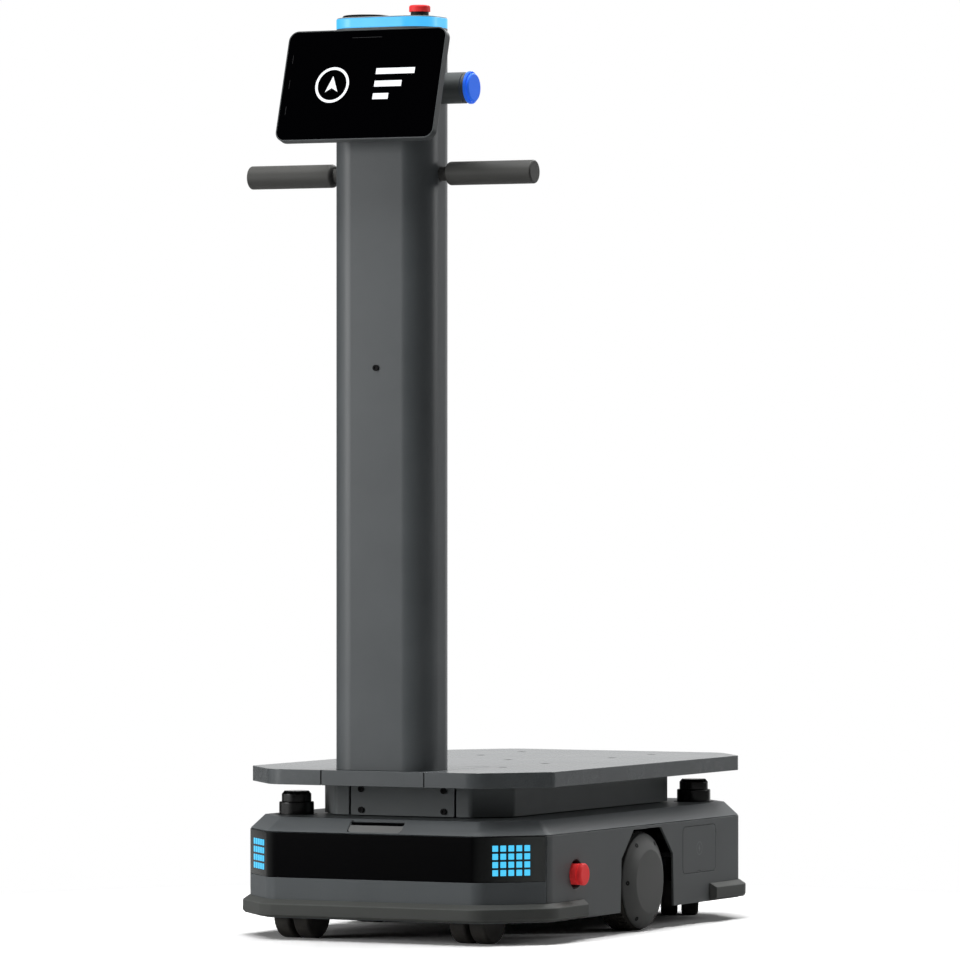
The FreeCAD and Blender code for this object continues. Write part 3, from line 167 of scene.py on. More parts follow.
class Tree:
    """Hand for adding and linking the nodes of one tree."""

    mix_inputs: tuple[int, int] = (6, 7)
    mix_output: int = 2

    def __init__(self, tree: bpy.types.NodeTree) -> None:
        """Keep the tree that nodes are added to."""
        self.tree = tree

    @classmethod
    def group(
        cls, name: str, kind: str, inputs: dict[str, tuple], outputs: dict[str, str]
    ) -> tuple[Tree, bpy.types.NodeOutputs]:
        """Start a node group with named sockets.

        Args:
            name: Name of the group.
            kind: Kind of its tree, Shader or Geometry.
            inputs: Kind and first value of each input.
            outputs: Kind of each output.

        Returns:
            A hand for the group, and what its inputs give.
        """
        tree = bpy.data.node_groups.new(name, f"{kind}NodeTree")
        for title, (socket, first) in inputs.items():
            made = tree.interface.new_socket(title, in_out="INPUT", socket_type=f"NodeSocket{socket}")
            if first is not None:
                made.default_value = first
        for title, socket in outputs.items():
            tree.interface.new_socket(title, in_out="OUTPUT", socket_type=f"NodeSocket{socket}")
        hand = cls(tree)
        return hand, hand.add("NodeGroupInput").outputs

    def give(self, results: dict[str, bpy.types.NodeSocket]) -> bpy.types.NodeTree:
        """End a node group with what it gives, and return the group."""
        self.add("NodeGroupOutput", results)
        return self.tree

    def add(self, kind: str, inputs: dict | None = None, **settings: object) -> bpy.types.Node:
        """Add a node.

        Args:
            kind: Blender's name for the node.
            inputs: Value or output socket for each input, by name or by number.
            settings: Properties of the node.

        Returns:
            The new node.
        """
        made = self.tree.nodes.new(kind)
        for name, setting in settings.items():
            setattr(made, name, setting)
        self.fill(made, inputs or {})
        return made

    def fill(self, node: bpy.types.Node, inputs: dict) -> None:
        """Set or link the inputs of a node.

        Args:
            node: The node.
            inputs: Value or output socket for each input, by name or by number.
        """
        for key, given in inputs.items():
            if isinstance(given, bpy.types.NodeSocket):
                self.tree.links.new(given, node.inputs[key])
            else:
                node.inputs[key].default_value = given

    def math(self, operation: str, first: object, second: object = 0.0) -> bpy.types.NodeSocket:
        """Output of a Math node."""
        return self.add("ShaderNodeMath", {0: first, 1: second}, operation=operation).outputs[0]

    def spread(
        self, given: object, low: float, high: float, to: tuple[float, float]
    ) -> bpy.types.NodeSocket:
        """Output of a Map Range node."""
        sizes = {"Value": given, "From Min": low, "From Max": high, "To Min": to[0], "To Max": to[1]}
        return self.add("ShaderNodeMapRange", sizes).outputs["Result"]

    def mix(self, share: object, first: object, second: object) -> bpy.types.NodeSocket:
        """Output of a colour Mix node."""
        inputs = {"Factor": share, self.mix_inputs[0]: first, self.mix_inputs[1]: second}
        return self.add("ShaderNodeMix", inputs, data_type="RGBA").outputs[self.mix_output]

    def place(self) -> bpy.types.NodeSocket:
        """Object coordinates."""
        return self.add("ShaderNodeTexCoord").outputs["Object"]

    def noise(self, place: bpy.types.NodeSocket, scale: object, detail: float) -> bpy.types.NodeSocket:
        """Output of a Noise node."""
        inputs = {"Vector": place, "Scale": scale, "Detail": detail}
        return self.add("ShaderNodeTexNoise", inputs).outputs[0]

    def parts(self, vector: bpy.types.NodeSocket) -> bpy.types.NodeOutputs:
        """X, Y and Z of a vector."""
        return self.add("ShaderNodeSeparateXYZ", {0: vector}).outputs

    def vector(self, **parts: object) -> bpy.types.NodeSocket:
        """Vector from its X, Y and Z."""
        return self.add("ShaderNodeCombineXYZ", parts).outputs[0]

    def raised(self, geometry: bpy.types.NodeSocket, rise: bpy.types.NodeSocket) -> bpy.types.NodeSocket:
        """Geometry moved along Z."""
        inputs = {"Geometry": geometry, "Translation": self.vector(Z=rise)}
        return self.add("GeometryNodeTransform", inputs).outputs[0]


class ShaderGroups:
    """Effects that several finishes share, each built once."""

    fine_detail: float = 3.0
    slow_detail: float = 4.0
    fine_share: float = 0.35
    # The next three sizes shape the patches of the painted edge highlight.
    highlight_rub_detail: float = 5.0
    highlight_rub_range: tuple[float, float] = (0.35, 0.65)
    highlight_rub_least: float = 0.45
    dust_scale: float = 60.0
    dust_detail: float = 6.0

    @classmethod
    @cache
    def surface_grain(cls) -> bpy.types.NodeTree:
        """Fine grain for bumps, and slow changes of tone.

        Returns:
            The group.
        """
        inputs = {
            "Stretch": ("Vector", Grain.EVEN.value),
            "Size": ("Float", 0.6 * MM),
            "Patch": ("Float", 90.0 * MM),
        }
        hand, given = Tree.group("surface_grain", "Shader", inputs, {"Height": "Float", "Tone": "Float"})
        both_ways = {0: hand.place(), 1: given["Stretch"]}
        stretched = hand.add("ShaderNodeVectorMath", both_ways, operation="MULTIPLY").outputs[0]
        fine = hand.noise(stretched, hand.math("DIVIDE", 1.0, given["Size"]), cls.fine_detail)
        slow = hand.noise(stretched, hand.math("DIVIDE", 1.0, given["Patch"]), cls.slow_detail)
        fine_part = hand.math("MULTIPLY", fine, cls.fine_share)
        slow_part = hand.math("MULTIPLY", slow, 1 - cls.fine_share)
        return hand.give({"Height": fine, "Tone": hand.math("ADD", fine_part, slow_part)})

    @classmethod
    @cache
    def edge_highlight_rub(cls) -> bpy.types.NodeTree:
        """Mask of the painted highlight along a piece's rounded edges, broken into patches like rubbed
        wear.

        Returns:
            The group.
        """
        hand, given = Tree.group("edge_highlight_rub", "Shader", {"Patch": ("Float", 20.0 * MM)}, {"Mask": "Float"})
        patches = hand.noise(hand.place(), hand.math("DIVIDE", 1.0, given["Patch"]), cls.highlight_rub_detail)
        broken = hand.spread(patches, *cls.highlight_rub_range, (cls.highlight_rub_least, 1.0))
        edge = hand.add("ShaderNodeAttribute", attribute_name=EDGE_ATTRIBUTE).outputs["Fac"]
        return hand.give({"Mask": hand.math("MULTIPLY", edge, broken)})

    @classmethod
    @cache
    def floor_dust(cls) -> bpy.types.NodeTree:
        """Mask of the dust that gathers near the floor.

        Returns:
            The group.
        """
        inputs = {"Reach": ("Float", 120.0 * MM), "Amount": ("Float", 0.2)}
        hand, given = Tree.group("floor_dust", "Shader", inputs, {"Mask": "Float"})
        place = hand.place()
        height = hand.parts(place)["Z"]
        low = hand.math("SUBTRACT", 1.0, hand.math("DIVIDE", height, given["Reach"]))
        clouds = hand.noise(place, cls.dust_scale, cls.dust_detail)
        cloudy = hand.math("MULTIPLY", hand.math("MAXIMUM", low, 0.0), clouds)
        return hand.give({"Mask": hand.math("MULTIPLY", cloudy, given["Amount"])})


@dataclass(frozen=True)
class Tint:
    """Colour as it is seen, in steps from 0 to 255."""

    red: int
    green: int
    blue: int

    def linear(self) -> Tone:
        """Colour as light, with full cover."""
        seen = Color((self.red / FULL_STEP, self.green / FULL_STEP, self.blue / FULL_STEP))
        return (*seen.from_srgb_to_scene_linear(), 1.0)

    def lifted(self, times: float) -> Tone:
        """Colour with its light multiplied."""
        return (*(min(1.0, part * times) for part in self.linear()[:3]), 1.0)


class Surface(ABC):
    """Anything that can be put on a piece: it builds its material once."""

    name: str

    def material(self) -> bpy.types.Material:
        """Return the material, and build it on its first use."""
        return bpy.data.materials.get(self.title) or self.build()

    @property
    def title(self) -> str:
        """Name of the material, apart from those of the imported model."""
        return f"{self.name}_finish"

    @abstractmethod
    def build(self) -> bpy.types.Material:
        """Build the material."""

    def start(self) -> tuple[bpy.types.Material, Tree, bpy.types.Node]:
        """New material with its nodes.

        Returns:
            The material, a hand for its tree and its main shader.
        """
        made = bpy.data.materials.new(self.title)
        made.use_nodes = True
        return made, Tree(made.node_tree), made.node_tree.nodes["Principled BSDF"]


@dataclass(frozen=True)
class Finish(Surface):
    """Opaque finish with grain, slow changes of tone, a painted highlight on its rounded edges in rub-like
    patches, and dust.
    """

    name: str
    tint: Tint
    roughness: float
    metallic: float = 0.0
    specular: float = 0.2
    grain: Grain = Grain.EVEN
    grain_size: float = 0.7 * MM
    grain_depth: float = 0.02 * MM
    tone: float = 0.10
    tone_range: tuple[float, float] = (0.3, 0.7)
    rough_change: float = 0.08
    # How much lighter the painted edge highlight is than the tint.
    edge_highlight_lift: float = 1.35
    dust: float = 0.0
    dust_tint: Tint = Tint(150, 142, 130)
    # Emission of the finish's own tint: painted light for parts that are no lamps.
    painted_glow: float = 0.0

    def build(self) -> bpy.types.Material:
        """Build the material.

        Returns:
            The material.
        """
        made, hand, shader = self.start()
        sizes = {"Stretch": self.grain.value, "Size": self.grain_size}
        grain = hand.add("ShaderNodeGroup", sizes, node_tree=ShaderGroups.surface_grain()).outputs
        edge_highlight = hand.add("ShaderNodeGroup", node_tree=ShaderGroups.edge_highlight_rub()).outputs["Mask"]
        toned = hand.spread(grain["Tone"], *self.tone_range, (0.0, 1.0))
        base = hand.mix(toned, self.tint.lifted(1 - self.tone), self.tint.lifted(1 + self.tone))
        # Rounded edges take a lighter tint: a painted highlight, broken into patches like rubbed wear.
        colour = hand.mix(edge_highlight, self.shaded(hand, base), self.tint.lifted(self.edge_highlight_lift))
        smoothest = self.roughness * (1 - self.rough_change)
        rough = hand.spread(toned, 0.0, 1.0, (smoothest, self.roughness * (1 + self.rough_change)))
        if self.dust:
            amount = {"Amount": self.dust}
            dust = hand.add("ShaderNodeGroup", amount, node_tree=ShaderGroups.floor_dust()).outputs["Mask"]
            colour = hand.mix(dust, colour, self.dust_tint.linear())
            rough = hand.math("ADD", rough, dust)
        relief = {"Height": grain["Height"], "Strength": 1.0, "Distance": self.grain_depth}
        hand.fill(shader, {
            "Base Color": colour,
            "Roughness": rough,
            "Normal": hand.add("ShaderNodeBump", relief).outputs["Normal"],
            "Metallic": self.metallic,
            "Specular IOR Level": self.specular,
            "Emission Color": self.tint.linear(),
            "Emission Strength": self.painted_glow,
        })
        return made

    def shaded(self, hand: Tree, base: bpy.types.NodeSocket) -> bpy.types.NodeSocket:
        """Base colour as it changes along the piece; here it stays the same."""
        return base


@dataclass(frozen=True)
class ReflectionPaintedFinish(Finish):
    """Finish that keeps its tint in the middle of the robot and has a painted reflection that lightens it
    towards both sides.
    """

    # Grey of the painted reflection at both ends, and where it starts and where it is full.
    painted_reflection: Tint = Tint(78, 80, 79)
    painted_reflection_start: float = 160.0 * MM
    painted_reflection_end: float = 226.0 * MM

    def shaded(self, hand: Tree, base: bpy.types.NodeSocket) -> bpy.types.NodeSocket:
        """Base colour with the painted reflection, lighter towards both sides.

        Args:
            hand: Hand on the material's tree.
            base: Base colour in the middle.

        Returns:
            The base colour along the piece.
        """
        across = hand.math("ABSOLUTE", hand.parts(hand.place())["X"])
        share = hand.spread(across, self.painted_reflection_start, self.painted_reflection_end, (0.0, 1.0))
        return hand.mix(share, base, self.painted_reflection.linear())


@dataclass(frozen=True)
class Lamp(Surface):
    """Lit diffuser: its light runs from one tint to another over a fine pattern."""

    name: str
    tint: Tint
    bright: Tint
    strength: float = 1.0
    cell: float = 3.0 * MM
    detail: float = 2.0
    unlit: float = 0.2
    roughness: float = 0.35

    def build(self) -> bpy.types.Material:
        """Build the material.

        Returns:
            The material.
        """
        made, hand, shader = self.start()
        cells = hand.noise(hand.place(), 1.0 / self.cell, self.detail)
        hand.fill(shader, {
            "Emission Color": hand.mix(cells, self.tint.linear(), self.bright.linear()),
            "Emission Strength": self.strength,
            "Base Color": self.tint.lifted(self.unlit),
            "Roughness": self.roughness,
        })
        return made


class Finishes:
    """Every finish on the robot."""

    BODY = Finish("body_plastic", Tint(88, 92, 94), 0.46)
    SIDE = Finish("side_plastic", Tint(87, 90, 91), 0.48, dust=0.05)
    LID = Finish("lid_plastic", Tint(97, 101, 103), 0.46)
    # Lighter than the body: painted light that makes up for the deck's shade on the pedestal.
    PEDESTAL = Finish("pedestal_painted_light", Tint(107, 111, 112), 0.46)
    DECK = Finish("deck_powder_coat", Tint(84, 88, 90), 0.27, specular=0.38, grain_size=0.9 * MM)
    COLUMN = Finish("column_powder_coat", Tint(84, 88, 90), 0.37, specular=0.29, grain_size=0.9 * MM)
    BUMPER = Finish("bumper_rubber", Tint(74, 76, 74), 0.58, grain_depth=0.05 * MM, dust=0.03)
    GLOSS = Finish("gloss_black", Tint(5, 5, 6), 0.12, specular=0.04, grain_depth=0.001 * MM, tone=0.05)
    # The panel's ends carry a painted reflection, grey towards both cut corners.
    PANEL = ReflectionPaintedFinish("panel_gloss", Tint(5, 5, 6), 0.12, specular=0.04, grain_depth=0.001 * MM)
    # Pale tint of the camera sill: painted light, as its floor would catch the top light.
    SILL = Finish("sill_painted_light", Tint(127, 128, 127), 0.40)
    DOME = Finish("scanner_gloss", Tint(12, 12, 12), 0.16, specular=0.45, grain_depth=0.001 * MM, tone=0.05)
    MATT = Finish("matt_black", Tint(28, 28, 29), 0.55)
    # Near-black sheets set in gaps and seams: painted shade.
    SHADE = Finish("painted_shade_sheet", Tint(12, 12, 13), 0.70, specular=0.05)
    SHELL = Finish("display_shell", Tint(74, 77, 78), 0.42)
    CAP = Finish("cap_plastic", Tint(150, 152, 153), 0.40)
    GLASS = Finish("screen_glass", Tint(1, 1, 2), 0.06, specular=0.01, grain_depth=0.0005 * MM, tone=0.03)
    # The stop and call buttons carry a painted glow; neither is a lamp.
    RED = Finish("stop_red", Tint(236, 58, 60), 0.42, specular=0.15, tone=0.04, edge_highlight_lift=1.2, painted_glow=0.15)
    BLUE = Finish("call_blue", Tint(44, 112, 244), 0.42, specular=0.15, tone=0.04, edge_highlight_lift=1.2, painted_glow=0.4)
    GRIP = Finish("grip_rubber", Tint(77, 77, 75), 0.50, grain_size=0.8 * MM, grain_depth=0.04 * MM)
    BOSS = Finish("boss_plastic", Tint(88, 92, 92), 0.45)
    TYRE = Finish(
        "tyre_rubber", Tint(34, 34, 33), 0.72, grain_size=1.4 * MM, grain_depth=0.06 * MM, dust=0.2
    )
    HUB = Finish("hub_plastic", Tint(84, 85, 84), 0.50, dust=0.03)
    MOTOR = Finish("motor_casting", Tint(150, 151, 153), 0.42, metallic=1.0, grain_size=1.6 * MM)
    FRAME = Finish("frame_paint", Tint(34, 34, 35), 0.50, dust=0.05)
    ARM = Finish("arm_paint", Tint(26, 26, 27), 0.48, dust=0.05)
    CASTER = Finish("caster_plastic", Tint(44, 44, 44), 0.50, dust=0.18)
    SCREW = Finish("black_oxide", Tint(12, 12, 13), 0.55, specular=0.1)
    BRASS = Finish("contact_brass", Tint(214, 176, 104), 0.24, metallic=1.0, grain=Grain.BRUSHED_UP)
    BATTERY = Finish("battery_case", Tint(52, 53, 56), 0.55)
    UNIT = Finish("unit_case", Tint(164, 166, 168), 0.38, metallic=1.0, grain=Grain.BRUSHED_ACROSS)
    MARK = Finish("door_mark", Tint(112, 114, 115), 0.50, tone=0.05)
    FAINT = Finish("screen_slot", Tint(26, 26, 27), 0.35, tone=0.05)
    LAMP = Lamp("lamp_tile", Tint(58, 190, 246), Tint(92, 214, 255))
    RING = Lamp("light_ring", Tint(64, 182, 246), Tint(88, 198, 252), cell=20.0 * MM)
    ICON = Lamp("screen_icon", Tint(238, 242, 246), Tint(255, 255, 255), cell=8.0 * MM)


@dataclass(frozen=True)
class Zone:
    """Box in space."""

    low: Vector
    high: Vector

    def holds(self, point: Vector) -> bool:
        """True for a point in the box."""
        return all(low < at < high for low, at, high in zip(self.low, point, self.high))


class Workshop:
    """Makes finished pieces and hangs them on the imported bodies."""

    sharp_angle: float = math.radians(28)
    flat_angle: float = math.radians(0.3)
    crease_angle: float = math.radians(32)
    solid_merge: float = 0.002 * MM
    turned_merge: float = 0.001 * MM
    round_segments: int = 2
    round_index: int = 1

    @staticmethod
    def link(name: str, mesh: bpy.types.Mesh) -> bpy.types.Object:
        """Put a mesh in the scene.

        Args:
            name: Name of the new object.
            mesh: The mesh.

        Returns:
            The object.
        """
        made = bpy.data.objects.new(name, mesh)
        bpy.context.scene.collection.objects.link(made)
        return made

    @classmethod
    def solid(cls, name: str, shape: bmesh.types.BMesh) -> bpy.types.Object:
        """Put a shape in the scene.

        Args:
            name: Name of the new object.
            shape: The shape, which is freed.

        Returns:
            The object.
        """
        mesh = bpy.data.meshes.new(name)
        shape.to_mesh(mesh)
        shape.free()
        return cls.link(name, mesh)

    @staticmethod
    def baked(holder: bpy.types.Object) -> bpy.types.Mesh:
        """Turn an object with modifiers into a plain one.

        Args:
            holder: The object, whose modifiers are removed.

        Returns:
            Its new mesh.
        """
        graph = bpy.context.evaluated_depsgraph_get()
        mesh = bpy.data.meshes.new_from_object(holder.evaluated_get(graph), depsgraph=graph)
        holder.modifiers.clear()
        holder.data = mesh
        return mesh

    @staticmethod
    def hang(piece: bpy.types.Object, body: str, surface: Surface, replaced: tuple[str, ...] = ()) -> None:
        """Finish a piece, hang it on a body and report it.

        Args:
            piece: The piece, with its place in its mesh.
            body: Body that it rides on.
            surface: Its finish.
            replaced: Nodes that it stands for.
        """
        piece.data.materials.clear()
        piece.data.materials.append(surface.material())
        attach(piece, body)
        if replaced:
            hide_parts(*replaced)
        LOG.info("%s rides on %s with %d faces", piece.name, body, len(piece.data.polygons))

    @staticmethod
    def dress(node: str, surface: Surface) -> None:
        """Put a finish on a solid that stays as it is.

        Args:
            node: The solid.
            surface: Its finish.
        """
        for place in frame["nodes"][node].material_slots:
            place.material = surface.material()
        LOG.info("%s keeps its solid", node)

    @classmethod
    def soften(cls, surface: Surface, width: Round, *nodes: str, crisp: Zone | None = None) -> None:
        """Stand copies with rounded edges in for solids.

        Args:
            surface: Their finish.
            width: Width of the round on each sharp edge.
            nodes: The solids.
            crisp: Zone whose edges stay sharp.
        """
        for node in nodes:
            mesh = cls.weighted(node, crisp)
            mesh.materials.clear()
            for _ in range(cls.round_index + 1):
                mesh.materials.append(surface.material())
            mesh.shade_smooth()
            piece = cls.link(f"{node}_piece", mesh)
            bevel = piece.modifiers.new("round", "BEVEL")
            bevel.width = width.value
            bevel.segments = cls.round_segments
            bevel.limit_method = "WEIGHT"
            bevel.use_clamp_overlap = False
            bevel.material = cls.round_index
            piece.modifiers.new("even", "WEIGHTED_NORMAL").keep_sharp = True
            cls.mark_edges(cls.baked(piece))
            cls.hang(piece, frame["nodes"][node]["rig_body"], surface, (node,))

    @classmethod
    def weighted(cls, node: str, crisp: Zone | None) -> bpy.types.Mesh:
        """Copy a solid's mesh and weigh the edges that are to be rounded.

        Args:
            node: The solid.
            crisp: Zone whose edges stay sharp.

        Returns:
            The mesh.
        """
        mesh = frame["nodes"][node].data.copy()
        shape = bmesh.new()
        shape.from_mesh(mesh)
        bmesh.ops.remove_doubles(shape, verts=shape.verts, dist=cls.solid_merge)
        bmesh.ops.dissolve_limit(shape, angle_limit=cls.flat_angle, verts=shape.verts, edges=shape.edges)
        rounds = shape.edges.layers.float.new("bevel_weight_edge")
        for edge in shape.edges:
            sharp = edge.is_manifold and edge.calc_face_angle() > cls.sharp_angle
            kept = crisp is not None and all(crisp.holds(corner.co) for corner in edge.verts)
            edge[rounds] = float(sharp and not kept)
        shape.to_mesh(mesh)
        shape.free()
        return mesh

    @classmethod
    def mark_edges(cls, mesh: bpy.types.Mesh) -> None:
        """Note on each face whether it belongs to a rounded edge, and give all faces one finish.

        Args:
            mesh: Mesh whose rounds have the second finish.
        """
        marks = mesh.attributes.new(EDGE_ATTRIBUTE, "FLOAT", "FACE")
        for face, mark in zip(mesh.polygons, marks.data):
            mark.value = float(face.material_index == cls.round_index)
            face.material_index = 0

    @classmethod
    def turned(cls, name: str, profile: Outline, steps: int, place: Matrix) -> bpy.types.Object:
        """Closed piece turned about Z and then placed.

        Args:
            name: Name of the piece.
            profile: Corners (radius, height), each stretch with the outside on its right.
            steps: Faces around the piece.
            place: Turn and place of the piece.

        Returns:
            The piece, still unfinished.
        """
        shape = bmesh.new()
        rings = []
        for step in range(steps):
            angle = FULL_TURN * step / steps
            corners = [(out * math.cos(angle), out * math.sin(angle), up) for out, up in profile]
            rings.append([shape.verts.new(corner) for corner in corners])
        count = len(profile)
        for here, there in zip(rings, rings[1:] + rings[:1]):
            for index in range(count):
                following = (index + 1) % count
                shape.faces.new((here[index], there[index], there[following], here[following]))
        bmesh.ops.remove_doubles(shape, verts=shape.verts, dist=cls.turned_merge)
        bmesh.ops.recalc_face_normals(shape, faces=shape.faces)
        made = cls.solid(name, shape)
        made.data.shade_smooth()
        made.data.set_sharp_from_angle(angle=cls.crease_angle)
        made.data.transform(place)
        return made

    @classmethod
    def plates(
        cls, name: str, outlines: list[Outline], thickness: float, place: Matrix
    ) -> bpy.types.Object:
        """Flat plates raised from closed outlines in the XY plane and then placed.

        Args:
            name: Name of the piece.
            outlines: Outlines, each convex or star shaped.
            thickness: Thickness of the plates.
            place: Turn and place of the piece.

        Returns:
            The piece, still unfinished.
        """
        shape = bmesh.new()
        for outline in outlines:
            low = [shape.verts.new((x, y, 0.0)) for x, y in outline]
            high = [shape.verts.new((x, y, thickness)) for x, y in outline]
            shape.faces.new(high)
            shape.faces.new(list(reversed(low)))
            for index in range(len(outline)):
                after = (index + 1) % len(outline)
                shape.faces.new((low[index], low[after], high[after], high[index]))
        made = cls.solid(name, shape)
        made.data.transform(place)
        return made

    @classmethod
    def grow(cls, name: str, tree: bpy.types.NodeTree, inputs: dict[str, object]) -> bpy.types.Object:
        """Plain mesh from a geometry tree.

        Args:
            name: Name of the piece.
            tree: The tree.
            inputs: Value for each of its named inputs.

        Returns:
            The piece, about the origin.
        """
        holder = cls.link(name, bpy.data.meshes.new(name))
        modifier = holder.modifiers.new(name, "NODES")
        modifier.node_group = tree
        for item in tree.interface.items_tree:
            if item.item_type == "SOCKET" and item.in_out == "INPUT" and item.name in inputs:
                modifier[item.identifier] = inputs[item.name]
        cls.baked(holder)
        return holder

    @classmethod
    def copies(cls, name: str, block: bpy.types.Object, places: list[Matrix]) -> bpy.types.Object:
        """One piece of several copies of a block.

        Args:
            name: Name of the piece.
            block: The block, which is removed.
            places: Turn and place of each copy.

        Returns:
            The piece, still unfinished.
        """
        shape = bmesh.new()
        for place in places:
            mesh = block.data.copy()
            mesh.transform(place)
            shape.from_mesh(mesh)
        bpy.data.objects.remove(block)
        return cls.solid(name, shape)


class GeometryTrees:
    """Trees for what repeats on the robot, each built once."""

    head_sides: int = 28
    socket_sides: int = 6
    corner_steps: int = 4
    tile_merge: float = 0.01 * MM

    @staticmethod
    def start(name: str, inputs: dict[str, tuple]) -> tuple[Tree, bpy.types.NodeOutputs]:
        """Start a tree with named inputs and a finish."""
        every = inputs | {"Finish": ("Material", None)}
        return Tree.group(name, "Geometry", every, {"Geometry": "Geometry"})

    @staticmethod
    def close(
        hand: Tree, geometry: bpy.types.NodeSocket, finish: bpy.types.NodeSocket
    ) -> bpy.types.NodeTree:
        """End a tree: make the copies real and finish them.

        Args:
            hand: Hand on the tree.
            geometry: What the tree has built.
            finish: Material for it.

        Returns:
            The tree.
        """
        real = hand.add("GeometryNodeRealizeInstances", {0: geometry}).outputs[0]
        dressed = hand.add("GeometryNodeSetMaterial", {"Geometry": real, "Material": finish}).outputs[0]
        return hand.give({"Geometry": dressed})

    @classmethod
    @cache
    def screws(cls) -> bpy.types.NodeTree:
        """Ring of screw heads, each with a hexagon socket, facing up or tilted outward.

        Returns:
            The tree.
        """
        hand, given = cls.start("screw_ring", {
            "Count": ("Int", 6),
            "Ring Radius": ("Float", 60.0 * MM),
            "Head Radius": ("Float", 4.0 * MM),
            "Head Height": ("Float", 3.0 * MM),
            "Socket Radius": ("Float", 2.0 * MM),
            "Tilt": ("Float", 0.0),
        })
        index = hand.add("GeometryNodeInputIndex").outputs[0]
        turn = hand.math("MULTIPLY", hand.math("DIVIDE", index, given["Count"]), FULL_TURN)
        across = hand.math("MULTIPLY", hand.math("COSINE", turn), given["Ring Radius"])
        along = hand.math("MULTIPLY", hand.math("SINE", turn), given["Ring Radius"])
        spots = {"Count": given["Count"], "Position": hand.vector(X=across, Y=along)}
        ring = hand.add("GeometryNodePoints", spots).outputs[0]
        bars = []
        for sides, radius in ((cls.head_sides, "Head Radius"), (cls.socket_sides, "Socket Radius")):
            sizes = {"Vertices": sides, "Radius": given[radius], "Depth": given["Head Height"]}
            bars.append(hand.add("GeometryNodeMeshCylinder", sizes).outputs["Mesh"])
        head, hexagon = bars
        raised = hand.raised(hexagon, hand.math("DIVIDE", given["Head Height"], 2.0))
        pair = {"Mesh 1": head, "Mesh 2": raised}
        holed = hand.add("GeometryNodeMeshBoolean", pair, operation="DIFFERENCE").outputs["Mesh"]
        lean = hand.vector(Y=given["Tilt"], Z=turn)
        facing = hand.add("FunctionNodeEulerToRotation", {0: lean}).outputs[0]
        placing = {"Points": ring, "Instance": holed, "Rotation": facing}
        copies = hand.add("GeometryNodeInstanceOnPoints", placing).outputs[0]
        return cls.close(hand, copies, given["Finish"])

    @classmethod
    @cache
    def lamp_tiles(cls) -> bpy.types.NodeTree:
        """Grid of flat tiles with round corners, facing up.

        Returns:
            The tree.
        """
        hand, given = cls.start("lamp_tiles", {
            "Columns": ("Int", 5),
            "Rows": ("Int", 4),
            "Width": ("Float", 50.0 * MM),
            "Height": ("Float", 35.0 * MM),
            "Tile": ("Float", 9.5 * MM),
            "Corner": ("Float", 0.6 * MM),
            "Thickness": ("Float", 0.4 * MM),
        })
        grid = hand.add("GeometryNodeMeshGrid", {
            "Size X": given["Width"],
            "Size Y": given["Height"],
            "Vertices X": given["Columns"],
            "Vertices Y": given["Rows"],
        }).outputs["Mesh"]
        square_sizes = {"Width": given["Tile"], "Height": given["Tile"]}
        square = hand.add("GeometryNodeCurvePrimitiveQuadrilateral", square_sizes).outputs[0]
        rounding = {"Curve": square, "Radius": given["Corner"], "Count": cls.corner_steps}
        outline = hand.add("GeometryNodeFilletCurve", rounding, mode="POLY").outputs[0]
        sheet = hand.add("GeometryNodeFillCurve", {"Curve": outline}, mode="NGONS").outputs[0]
        lift = {"Mesh": sheet, "Offset Scale": given["Thickness"]}
        raised = hand.add("GeometryNodeExtrudeMesh", lift).outputs[0]
        back = hand.add("GeometryNodeFlipFaces", {0: sheet}).outputs[0]
        both = hand.add("GeometryNodeJoinGeometry", {0: raised})
        hand.fill(both, {0: back})
        joining = {"Geometry": both.outputs[0], "Distance": cls.tile_merge}
        closed = hand.add("GeometryNodeMergeByDistance", joining).outputs[0]
        copies = hand.add("GeometryNodeInstanceOnPoints", {"Points": grid, "Instance": closed}).outputs[0]
        return cls.close(hand, copies, given["Finish"])

    @classmethod
    @cache
    def lugs(cls) -> bpy.types.NodeTree:
        """Two rings of tread blocks about Z, one at each shoulder of a tyre.

        Returns:
            The tree.
        """
        hand, given = cls.start("tread_lugs", {
            "Count": ("Int", 48),
            "Radius": ("Float", 72.0 * MM),
            "Block": ("Vector", (2.0 * MM, 6.0 * MM, 12.0 * MM)),
            "Offset": ("Float", 12.0 * MM),
        })
        ring_sizes = {"Vertices": given["Count"], "Radius": given["Radius"]}
        ring = hand.add("GeometryNodeMeshCircle", ring_sizes).outputs["Mesh"]
        block = hand.add("GeometryNodeMeshCube", {"Size": given["Block"]}).outputs["Mesh"]
        facing = {"Vector": hand.add("GeometryNodeInputPosition").outputs[0]}
        turn = hand.add("FunctionNodeAlignRotationToVector", facing, axis="X", pivot_axis="Z").outputs[0]
        placing = {"Points": ring, "Instance": block, "Rotation": turn}
        copies = hand.add("GeometryNodeInstanceOnPoints", placing).outputs[0]
        both = hand.add("GeometryNodeJoinGeometry")
        for way in (1.0, -1.0):
            hand.fill(both, {0: hand.raised(copies, hand.math("MULTIPLY", given["Offset"], way))})
        return cls.close(hand, both.outputs[0], given["Finish"])


class Assembly(ABC):
    """Pieces that are built together."""

    @abstractmethod
    def build(self) -> None:
        """Build every piece."""


